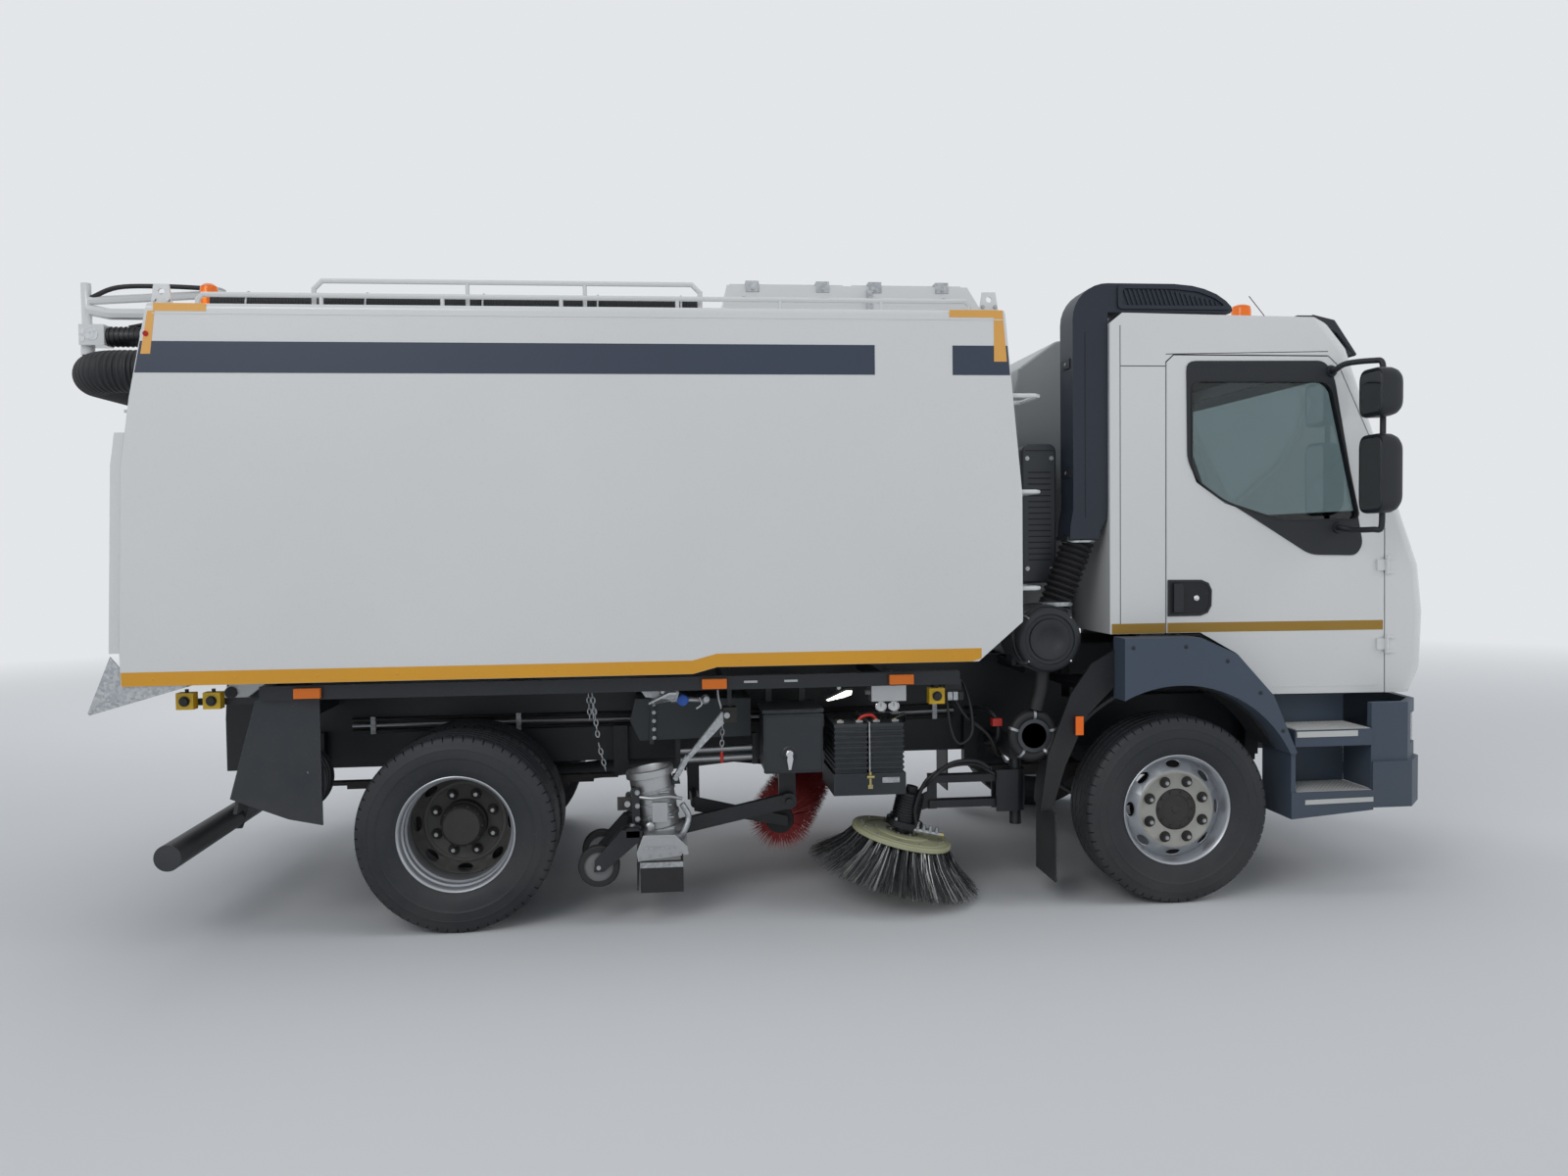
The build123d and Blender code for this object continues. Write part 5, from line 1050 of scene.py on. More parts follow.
def make_cab_front(context):
    """Windscreen border, wipers, grille, marker lamps, aerial, plates and roof fittings."""
    form = Form()
    low, high, half = 1.76, 2.53, 0.93
    shade = -0.0172
    for z0, z1, y0, y1 in ((low, low + 0.07, -half, half), (high - 0.05, high, -half, half),
            (low, high, -half, -half + 0.05), (low, high, half - 0.05, half)):
        form.slab([(screen_x(z0) + shade, z0), (screen_x(z1) + shade, z1), (screen_x(z1) + shade - 0.0006, z1),
            (screen_x(z0) + shade - 0.0006, z0)], y0, y1, "visor_plastic")
    for y0, y1 in ((-0.8, -0.06), (0.05, 0.79)):
        foot = at(screen_x(1.72) + 0.006, y0, 1.725)
        tip = at(screen_x(1.83) + 0.006, y1, 1.83)
        form.rod(foot - Vector((0.012, 0, 0)), foot + Vector((0.012, 0, 0)), 0.018, BLACK, 16)
        form.tube([foot, foot.lerp(tip, 0.5) + Vector((0.006, 0, 0)), foot.lerp(tip, 0.62)], 0.008, BLACK, 8)
        form.tube([foot.lerp(tip, 0.3), foot.lerp(tip, 0.65) + Vector((-0.004, 0, 0)), tip], 0.006, "seal_rubber", 6)
    # Dark mesh behind the grille's slots, and bars across it
    for row in range(4):
        z = 1.095 + 0.1 * row
        form.block((4.5905, 4.596), (-0.756, 0.756), (z + 0.002, z + 0.06), "liner_plastic")
        for bar in range(3):
            form.block((4.596, 4.604), (-0.757, 0.757), (z + 0.01 + 0.017 * bar, z + 0.016 + 0.017 * bar), BLACK)
    for _, side in SIDES:
        for row in range(4):
            z = 1.087 + 0.1 * row
            form.block((4.5965, 4.599), (side * 0.882, side * 0.919), (z, z + 0.056), BLACK)
        # Slats down the nose's corner
        for row in range(5):
            z = 1.03 + 0.078 * row
            form.slab([(4.53, z), (4.567, z + 0.004), (4.572, z + 0.052), (4.533, z + 0.048)], side * 0.992,
                side * 1.004, "cab_paint")
        form.block((3.955, 4.04), (side * 0.9, side * 0.99), (2.7345, 2.756), BLACK)
        form.block((4.03, 4.046), (side * 0.91, side * 0.98), (2.736, 2.752), "lamp_amber")
    # Aerial, roof seams and the marker lamps of the visor
    form.rod((3.9, -0.82, 2.7385), (3.904, -0.82, 2.755), 0.014, BLACK, 16, 0.01)
    form.rod((3.904, -0.82, 2.755), (3.8, -0.82, 2.88), 0.0022, BLACK, 6)
    for y in (-0.62, -0.2, 0.2, 0.62):
        form.slab(mm((4034, 2760.5), (4130, 2737), (4133, 2745), (4040, 2768)), y - 0.05, y + 0.05, "lamp_amber")
    for y in (-0.5, 0.5):
        form.slab([(3.1, 2.7485), (3.95, 2.7375), (3.95, 2.741), (3.1, 2.752)], y - 0.02, y + 0.02, "cab_paint")
    form.place("cab_front", "cab", "cab_white", bevel=0.0012)
    plates = Form()
    plates.block((4.5965, 4.6), (-0.275, 0.275), (0.715, 0.845), BLACK)
    plates.block((4.6, 4.6015), (-0.26, 0.26), (0.725, 0.835), "hopper_paint")
    # Lower intake mesh
    for bar in range(5):
        plates.block((4.545, 4.552), (-0.518, 0.518), (0.478 + 0.024 * bar, 0.484 + 0.024 * bar), BLACK)
    for column in range(14):
        y = -0.48 + 0.96 / 13 * column
        plates.block((4.54, 4.545), about(y, 0.003), (0.471, 0.589), BLACK)
    plates.place("front_plates", "chassis", "step_blue_grey")


def make_headlamps(context):
    """Lamp units: dark housing, reflector bowls and a clear cover."""
    form, cover = Form(), Form()
    low, high = 0.7087, 0.8493
    for _, side in SIDES:
        front = [(4.38, 1.1187), (4.444, 1.1187), (4.521, 1.04), (4.5655, 0.7612)]
        back = [(4.382, 1.1), (4.43, 1.095), (4.47, 1.035), (4.5, 0.7612)]
        form.plan([(x, side * y) for x, y in [*back, (4.47, 0.7612), (4.382, 1.08)]], low, high, BLACK)
        thin = [(x - 0.003, y - 0.003) for x, y in front]
        cover.plan([(x, side * y) for x, y in [*front, *reversed(thin)]], low, high, "lamp_clear")
        for place, radius in ((0.0, 0.052), (0.42, 0.058), (0.8, 0.04)):
            centre = at(4.486 + 0.027 * place, side * (1.02 - 0.24 * place), 0.778)
            way = Vector((1, side * 0.12, 0))
            form.lathe([(radius, 0.0), (radius, 0.02), (radius * 0.94, 0.02), (radius * 0.7, 0.006),
                (radius * 0.3, -0.004), (0.0, -0.004)], centre - way * 0.008, way, "reflector", 32)
            form.lathe(mm((12, 0), (12, 12), (0, 14)), centre - way * 0.006, way, "lamp_lit", 16)
        form.block((4.432, 4.4405), (side * 1.082, side * 1.113), (0.722, 0.835), "lamp_amber")
    form.place("headlamp_units", "chassis", "lamp_glass", ["headlamps"])
    cover.place("headlamp_covers", "chassis", "lamp_glass")


def make_steps(context):
    """Grit plates and bright strips of the steps, and screws of the flares."""
    form = Form()
    for _, side in SIDES:
        for x0, x1, top, edge in ((3.85, 4.215, 0.7952, 1.185), (3.85, 4.22, 0.5052, 1.19)):
            form.block((x0, x1), (side * 0.955, side * edge), (top, top + 0.003), "tread_strip")
            for column in range(18):
                for row in range(9):
                    x, y = x0 + 0.012 + 0.0202 * column, 0.968 + 0.0245 * row
                    form.rod((x, side * y, top + 0.003), (x, side * y, top + 0.0055), 0.0055, "tread_strip", 6,
                        0.0035)
        strip(form, rect(3.85, 4.15, 0.762, 0.789), side, "tread_strip", 0.003, 1.1903)
        strip(form, mm((3886, 447), (4222.5, 452), (4222.5, 474), (3886, 469)), side, "tread_strip", 0.003, 1.2003)
        for x, z in ((3.05, 1.2), (3.3, 1.2), (3.5, 1.13), (3.66, 0.98), (3.77, 0.8)):
            form.lathe(mm((9, 0), (9, 2), (6, 4), (0, 4.2)), (x, side * 1.2152, z), (0, side, 0), BLACK, 14)
        # Front wall of the step well
        form.block((4.222, 4.228), (side * 0.95, side * 1.183), (0.5085, 0.7925), "moulded")
        # Side marker on the mud guard
        form.block((2.812, 2.848), (side * 1.1152, side * 1.1215), (0.792, 0.878), "lamp_amber")
    form.place("step_treads", "chassis", "step_blue_grey")


def make_mirrors(context):
    """Bowed mirror heads with their glass, on bent arms."""
    for hand, side in SIDES:
        form = Form()
        for z0, z1 in ((2.241, 2.464), (1.801, 2.164)):
            mid_y, mid_z, half_y, half_z = side * 1.275, (z0 + z1) / 2, 0.0945, (z1 - z0) / 2
            rows = []
            for x, share, inset in ((4.153, 0.9, 0), (4.151, 0.95, 0), (4.154, 0.985, 0), (4.165, 1.0, 0),
                    (4.215, 0.99, 0), (4.24, 0.955, 0.004), (4.255, 0.9, 0.01), (4.2625, 0.8, 0.02),
                    (4.2648, 0.6, 0.03)):
                wide, tall = half_y * share - inset * 0.2, half_z * share - inset
                box = rect(-wide, wide, -tall, tall)
                rows.append([at(x, mid_y + y, mid_z + z) for y, z in rounded(box, 0.055, 6)])
            form.rings(rows, BLACK)
            glass = rounded(rect(-0.078, 0.078, 0.02 - half_z, half_z - 0.02), 0.03, 4)
            form.prism([at(4.1497, mid_y + y, mid_z + z) for y, z in glass], [at(4.1535, mid_y + y, mid_z + z)
                for y, z in glass], "mirror_glass")
        for x, z, low_z, out_z in ((4.085, 2.48, 2.505, 2.42), (4.12, 1.74, 1.728, 1.82)):
            form.tube([(x, side * 1.0603, z), (x, side * 1.09, z), (x + 0.03, side * 1.14, low_z),
                (4.19, side * 1.235, low_z), (4.212, side * 1.265, (low_z + z) / 2), (4.215, side * 1.27, out_z)],
                0.0135, BLACK, 14, 5)
            form.rod((x, side * 1.0603, z), (x, side * 1.074, z), 0.03, BLACK, 20, 0.024)
        form.rod((4.215, side * 1.27, 2.155), (4.215, side * 1.27, 2.25), 0.0135, BLACK, 14)
        form.place("mirror_heads_" + hand, "door_" + hand, "trim_black", ["mirror_" + hand])


# Sweeping gear

brush_centre = at(2.035, -0.88, 0.3)
brush_axis = Vector((sin(radians(13)), -0.05, cos(radians(13)))).normalized()
brush_side, brush_fore = turned_frame(brush_axis)


def brush_point(radius, angle, height):
    """Point about the side brush's spindle."""
    return brush_centre + (brush_side * cos(angle) + brush_fore * sin(angle)) * radius + brush_axis * height


def add_blade(form, line, width, name):
    """Thin wire with a flat section along a bent line, drawn to a narrower tip."""
    rows = []
    for index, place in enumerate(line):
        way = (line[min(index + 1, len(line) - 1)] - line[max(index - 1, 0)]).normalized()
        side, up = turned_frame(way)
        size = width * (1 - 0.45 * index / (len(line) - 1))
        rows.append([place + side * size, place + up * size * 0.45, place - side * size, place - up * size * 0.45])
    form.rings(rows, name)


def make_side_brush(context):
    """Ringed disc with clumped steel bristles, its motor and fittings."""
    rng = random.Random(7)
    count = context.scene.sweeper_sizes.bristles
    form = Form()
    # The disc's finish is grey steel with the work lamp's yellow light painted into its colour
    form.lathe(mm((20, 12), (75, 12), (80, 17), (128, 17), (132, 12), (180, 12), (184, 16), (214, 16), (218, 12),
        (236, 12), (240, 7), (240, -9), (234, -12), (20, -12)), brush_centre, brush_axis, "disc_with_painted_lamp_light", 72, True)
    form.lathe(mm((18.6, 12), (34, 12), (34, 36), (30, 38), (18.6, 38)), brush_centre, brush_axis, FRAME, 32, True)
    for angle in around(6):
        form.bolt(brush_point(0.057, angle, 0.012), brush_axis, 0.009, 0.009)
    for angle in around(12, 0.5):
        form.bolt(brush_point(0.199, angle, 0.016), brush_axis, 0.006, 0.006)
    form.place("side_brush_disc", "side_brush", "bristle_grey", ["side_brush"])
    form = Form()
    tufts = 34
    for middle_angle in around(tufts):
        for ring, (root, reach, drop) in enumerate(((0.222, 0.405, 0.186), (0.185, 0.35, 0.19))):
            for _ in range(count // (ring + 1)):
                angle = middle_angle + rng.uniform(-0.05, 0.05) + ring * pi / tufts
                spread = (angle - middle_angle) * 1.3 + middle_angle + rng.uniform(-0.03, 0.03)
                start = root + rng.uniform(-0.012, 0.012)
                end, low = min(0.418, reach + rng.uniform(-0.035, 0.013)), drop - abs(rng.gauss(0, 0.008))
                line = [brush_point(start + (end - start) * t ** 1.25, angle + (spread - angle) * t,
                    -0.011 - (low - 0.011) * t ** 0.92) for t in (0.0, 0.35, 0.7, 1.0)]
                # One wire in five takes the lit copy of the steel wire, a painted highlight
                add_blade(form, line, rng.uniform(0.0013, 0.0021),
                    "wire_painted_highlight" if rng.random() < 0.2 else "wire_steel")
    form.place("side_brush_bristles", "side_brush", "bristle_grey")
    # Ribs and bolts of the motor
    form = Form()
    for rib in range(9):
        height = 0.086 + 0.013 * rib
        form.band((0.062, 0.003), (0.068, 0.002), brush_point(0, 0, height), brush_axis, BLACK, 36)
    for angle in around(4, 0.5):
        form.rod(brush_point(0.077, angle, 0.075), brush_point(0.077, angle, 0.088), 0.009, BOLTS, 6)
    form.place("brush_motor", "brush_head", "chassis_black")


def make_channel_brush(context):
    """Red bristles of the wide brush under the frame."""
    rng = random.Random(11)
    right, left = at(1.47, -0.66, 0.34), at(1.8, 0.7, 0.34)
    way = (left - right).normalized()
    side, up = turned_frame(way)
    length = (left - right).length
    form = Form()
    form.lathe([(0.0186, 0.012), (0.068, 0.012), (0.07, 0.016), (0.07, length - 0.016), (0.068, length - 0.012),
        (0.0186, length - 0.012)], right, way, "liner_plastic", 32, True)
    rows, spokes = 52, 54
    for row in range(rows):
        foot = right + way * (0.022 + (length - 0.044) * row / (rows - 1))
        for spoke in range(spokes):
            angle = 2 * pi * (spoke + 0.5 * (row % 2)) / spokes + rng.uniform(-0.03, 0.03)
            out = side * cos(angle) + up * sin(angle)
            reach = rng.uniform(0.162, 0.1745)
            drift = way * rng.uniform(-0.012, 0.012)
            if not 0.012 < (foot + drift - right).dot(way) < length - 0.012:
                drift = Vector()
            tangent = out.cross(way) * 0.0035
            root, tip = foot + out * 0.068, foot + out * reach + drift
            form.faces([root + tangent, root - tangent, root + way * 0.006, tip], [(0, 1, 3), (1, 2, 3), (2, 0, 3)],
                "red_plastic")
    form.place("channel_bristles", "channel_brush", "bristle_red", ["channel_brush"])


nozzle_y = -0.96


def make_nozzle(context):
    """Suction nozzle: clamped tube, riveted box, rubber skirts, castor forks and trailing arm."""
    form = Form()
    low, high = at(0.885, nozzle_y, 0.4), at(0.843, nozzle_y, 0.672)
    way = (high - low).normalized()
    reach = (high - low).length
    form.lathe([(0.096, 0.0), (0.0975, 0.1), (0.0975, reach - 0.035), (0.1095, reach - 0.032),
        (0.1095, reach - 0.003), (0.106, reach), (0.092, reach), (0.09, reach - 0.004), (0.088, 0.12), (0.0, 0.11)],
        low, way, "alloy", 56)
    for place in (0.06, 0.118, 0.176):
        form.band((0.0965, 0.009), (0.1035, 0.008), low + way * place, way, ZINC, 48)
        form.rod(low + way * place + Vector((0.03, -0.1, 0)), low + way * place + Vector((0.075, -0.085, 0)), 0.006,
            BOLTS, 10)
    # Collar and box
    form.lathe(mm((112, 0), (112, 30), (100, 34)), (0.889, nozzle_y, 0.378), way, "alloy", 48)
    outline = mm((790, 290), (1015, 315), (1010, 350), (955, 405), (815, 405), (785, 330))
    form.slab(outline, nozzle_y - 0.2, nozzle_y + 0.2, "alloy")
    for x in (0.8, 0.845, 0.89, 0.935, 0.98):
        form.bolt((x, nozzle_y - 0.2, 0.305 + (x - 0.79) * 0.11), RIGHT, 0.006, 0.004)
    form.block((0.812, 0.962), (nozzle_y - 0.206, nozzle_y - 0.2), (0.345, 0.352), ZINC)
    form.block((0.83, 0.95), (nozzle_y - 0.2045, nozzle_y - 0.2), (0.36, 0.395), "alloy")
    # Rubber skirts with their clamping strips
    form.block((0.8, 0.99), (nozzle_y - 0.2055, nozzle_y - 0.1985), (0.15, 0.292), "seal_rubber")
    form.block((0.985, 0.991), about(nozzle_y, 0.2), (0.16, 0.32), "seal_rubber")
    form.block((0.785, 0.791), about(nozzle_y, 0.2), (0.16, 0.3), "seal_rubber")
    form.block((0.8, 0.99), (nozzle_y - 0.2085, nozzle_y - 0.2055), (0.262, 0.286), ZINC)
    # Trailing arm
    form.slab(mm((990, 330), (990, 400), (1500, 505), (1500, 435)), -0.845, -0.805, FRAME)
    form.band((0.0165, 0.025), (0.038, 0.025), (1.5, -0.825, 0.47), LEFT, FRAME, 32, True)
    # Castor forks, axle and bearing blocks
    for y in (nozzle_y - 0.19, nozzle_y - 0.12, nozzle_y + 0.112, nozzle_y + 0.182):
        form.slab(mm((595, 247), (639, 247), (800, 380), (800, 430), (720, 430), (600, 300)), y, y + 0.008, FRAME)
    form.block((0.74, 0.812), about(nozzle_y, 0.19), (0.395, 0.425), FRAME)
    form.rod((0.617, nozzle_y - 0.195, 0.267), (0.617, nozzle_y + 0.195, 0.267), 0.01, BOLTS, 16)
    for y in (nozzle_y - 0.155, nozzle_y + 0.147):
        form.lathe(mm((40, 0), (40, 12), (34, 16), (0, 16)), (0.766, y, 0.425), UP, FRAME, 28)
        form.bolt((0.766, y, 0.441), UP, 0.012, 0.01)
    form.place("nozzle", "suction_nozzle", "nozzle_alloy", ["suction_nozzle"], bevel=0.0012)
    form = Form()
    for y in about(nozzle_y, 0.151):
        form.lathe(mm((30, -27), (30, -18), (62, -14), (64, -21.5), (86, -21.5), (92, -16), (92, 16), (86, 21.5),
            (64, 21.5), (62, 14), (30, 18), (30, 27), (10.2, 27), (10.2, -27)), (0.617, y, 0.267), LEFT,
            "castor_grey", 48, True)
        form.lathe(mm((64.5, -21.9), (86.2, -21.9), (92.3, -16.3), (92.3, 16.3), (86.2, 21.9), (64.5, 21.9),
            (64.5, 18), (64.5, -18)), (0.617, y, 0.267), LEFT, "seal_rubber", 48, True)
    form.place("castor_wheels", "castors", "castor_rubber", ["castors"])


# Air intake and roof


def make_intake(context):
    """Moulded intake stack with its louvres, pleated bellows, and filter canister with the ring duct below."""
    form = Form()
    arc = [(3.0 - 0.17 * cos(a), 2.718 + 0.17 * sin(a)) for a in (0.0, 0.2, 0.4, 0.6, 0.8, 1.0, 1.2, 1.4, 1.571)]
    tip = mm((3320, 2888), (3410, 2880), (3470, 2866), (3530, 2842), (3575, 2812), (3602, 2785), (3607, 2766),
        (3596, 2753.5))
    foot = mm((2999.5, 2753.5), (2999.5, 1860), (2992, 1790), (2962, 1740), (2955, 1700), (2815, 1700), (2818, 1760),
        (2832, 1840))
    form.slab([*foot, *arc, *tip], -1.038, -0.862, "stack_plastic")
    outer = rounded(mm((3045, 2768), (3592, 2768), (3585, 2795), (3530, 2835), (3440, 2868), (3320, 2880),
        (3045, 2880)), 0.02, 3)
    inner = rounded(mm((3068, 2786), (3560, 2786), (3553, 2796), (3510, 2824), (3430, 2851), (3310, 2862),
        (3068, 2862)), 0.015, 3)
    add_ring(form, outer, inner, -1, 1.0375, 1.0492, 1.0375, "stack_plastic")
    for row in range(21):
        x = 3.075 + 0.0225 * row
        top = min(2.861, 2.861 - max(0, x - 3.3) * 0.23)
        if top - 2.787 > 0.02:
            form.slab([(x, 2.787), (x + 0.008, 2.787), (x + 0.008 - (top - 2.787) * 0.35, top),
                (x - (top - 2.787) * 0.35, top)], -1.0455, -1.0375, "stack_plastic")
    form.place("stack_body", "cab", "stack_navy", ["intake_stack"], bevel=0.012, segments=3, smooth=50)
    form = Form()
    # Seam band, clips and brackets of the stack
    for z in (1.99, 2.5):
        form.block((2.8255, 2.846), (-1.0, -0.9), (z, z + 0.045), BLACK)
        form.bolt((2.8255, -0.95, z + 0.022), BACK, 0.007, 0.004)
        form.block((2.985, 3.0), (-0.99, -0.91), (z - 0.14, z - 0.1), BLACK)
    form.slab(rect(2.888, 2.892, 1.8, 2.66), -1.0395, -1.0375, "liner_plastic")
    form.block((2.805, 2.965), (-1.028, -0.872), (1.694, 1.712), BLACK)
    form.place("stack_fittings", "cab", "stack_navy", bevel=0.002)
    form = Form()
    # Bellows lean back from the stack to the filter
    high, low = at(2.885, -0.955, 1.693), at(2.77, -0.955, 1.395)
    count = 44
    places = [high.lerp(low, i / count) for i in range(count + 1)]
    form.tube(places, lambda share: (0.078, 0.072, 0.062, 0.072)[int(round(share * count)) % 4], "seal_rubber", 32, 1)
    for foot, above in ((high, 0), (low, 0.009)):
        form.rod(foot - Vector((0, 0, 0.009)), foot + Vector((0, 0, above)), 0.081, ZINC, 32)
    form.tube([(2.768, -0.955, 1.392), (2.74, -0.955, 1.345), (2.705, -0.955, 1.3)], 0.072, BLACK, 28, 4)
    # Canister with its cover, ribs and clips
    centre = at(2.69, -0.83, 1.238)
    form.lathe(mm((150, 0), (155, 6), (155, 212), (157.8, 216), (157.8, 232), (152, 236), (152, 272), (140, 288),
        (118, 292), (114, 286), (98, 286), (94, 294), (58, 296), (50, 288), (0, 288)), centre, RIGHT, BLACK, 56)
    for rib in range(5):
        form.band((0.1545, 0.004), (0.1572, 0.003), centre + Vector((0, -0.04 - 0.034 * rib, 0)), RIGHT, BLACK, 48)
    for turn in around(4, 0.5):
        out = Vector((cos(turn), 0, sin(turn)))
        form.tube([centre + out * 0.1565 + Vector((0, -0.19, 0)), centre + out * 0.1574 + Vector((0, -0.225, 0)),
            centre + out * 0.153 + Vector((0, -0.262, 0)), centre + out * 0.14 + Vector((0, -0.289, 0))], 0.0045,
            BOLTS, 8, 3)
    form.block((2.64, 2.74), (-0.9, -0.43), (1.0603, 1.0995), FRAME)
    for x in (2.56, 2.8):
        form.slab(rect(x, x + 0.02, 1.1, 1.17), -0.95, -0.86, FRAME)
    form.block((2.56, 2.82), (-0.95, -0.86), (1.0995, 1.106), FRAME)
    # Duct down to the ring
    ring = at(2.645, -1.01, 0.778)
    form.tube([(2.688, -1.01, 1.1), (2.68, -1.01, 1.0), (2.655, -1.01, 0.9)], 0.036, "seal_rubber", 20, 4)
    form.lathe([(0.1 + 0.024 * cos(a), 0.024 * sin(a)) for a in around(12)], ring, LEFT, "seal_rubber", 48, True)
    form.lathe(mm((79, -10), (79, 12), (0, 12), (0, 2), (55, 2), (60, -10)), ring, LEFT, "cooler_paint", 40)
    for turn in around(5, 1.5 / (2 * pi)):
        out = Vector((cos(turn), 0, sin(turn)))
        way = Vector((-sin(turn), 0, cos(turn)))
        form.band((0.0243, 0.006), (0.0262, 0.006), ring + out * 0.1, way, ZINC, 20, True)
    form.place("air_filter_set", "chassis", "trim_black", ["air_filter"], smooth=50)
    # Cowl seams and cooler louvres
    form = Form()
    for z in (1.45, 1.95):
        form.block((2.6585, 2.978), (-0.6125, -0.6095), (z, z + 0.012), "cowl_paint")
    for x in (2.7, 2.94):
        form.block((x, x + 0.012), (-0.6125, -0.6095), (1.16, 2.55), "cowl_paint")
    for z in (1.56, 2.09):
        for x in (2.67, 2.79):
            form.bolt((x, -0.8502, z), RIGHT, 0.008, 0.006)
    for row in range(16):
        z = 1.6 + 0.028 * row
        form.slab(rect(2.675, 2.785, z, z + 0.005), -0.8535, -0.8497, "liner_plastic")
    form.block((2.66, 2.8), (-0.8515, -0.8497), (2.125, 2.129), "liner_plastic")
    form.place("cowl_lines", "chassis", "cowl_grey")
    # Rotating beacon on its rubber foot
    form = Form()
    foot = at(3.79, -0.76, 2.7392)
    form.lathe(mm((62, 0), (62, 14), (56, 22), (50, 24)), foot, UP, BLACK, 32)
    form.lathe(mm((49, 22), (50.5, 30), (50.5, 34), (48, 36), (47, 85), (42, 101), (25, 109), (0, 110.5)), foot, UP,
        "lamp_amber", 36)
    form.place("beacon", "cab", "lamp_amber", ["cab_beacon"])


# Gear along the right side


def add_chain(form, top, bottom, name):
    """Welded chain: links set crosswise in turn."""
    top, bottom = spot(top), spot(bottom)
    way = (bottom - top).normalized()
    side, fore = turned_frame(way)
    pitch = 0.026
    for link in range(int((bottom - top).length / pitch)):
        centre = top + way * (link + 0.5) * pitch
        out = side if link % 2 else fore
        loop = [centre + way * 0.0155 * cos(a) + out * 0.0085 * sin(a) for a in around(10)]
        form.tube([*loop, loop[0]], 0.0032, name, 6, 1)


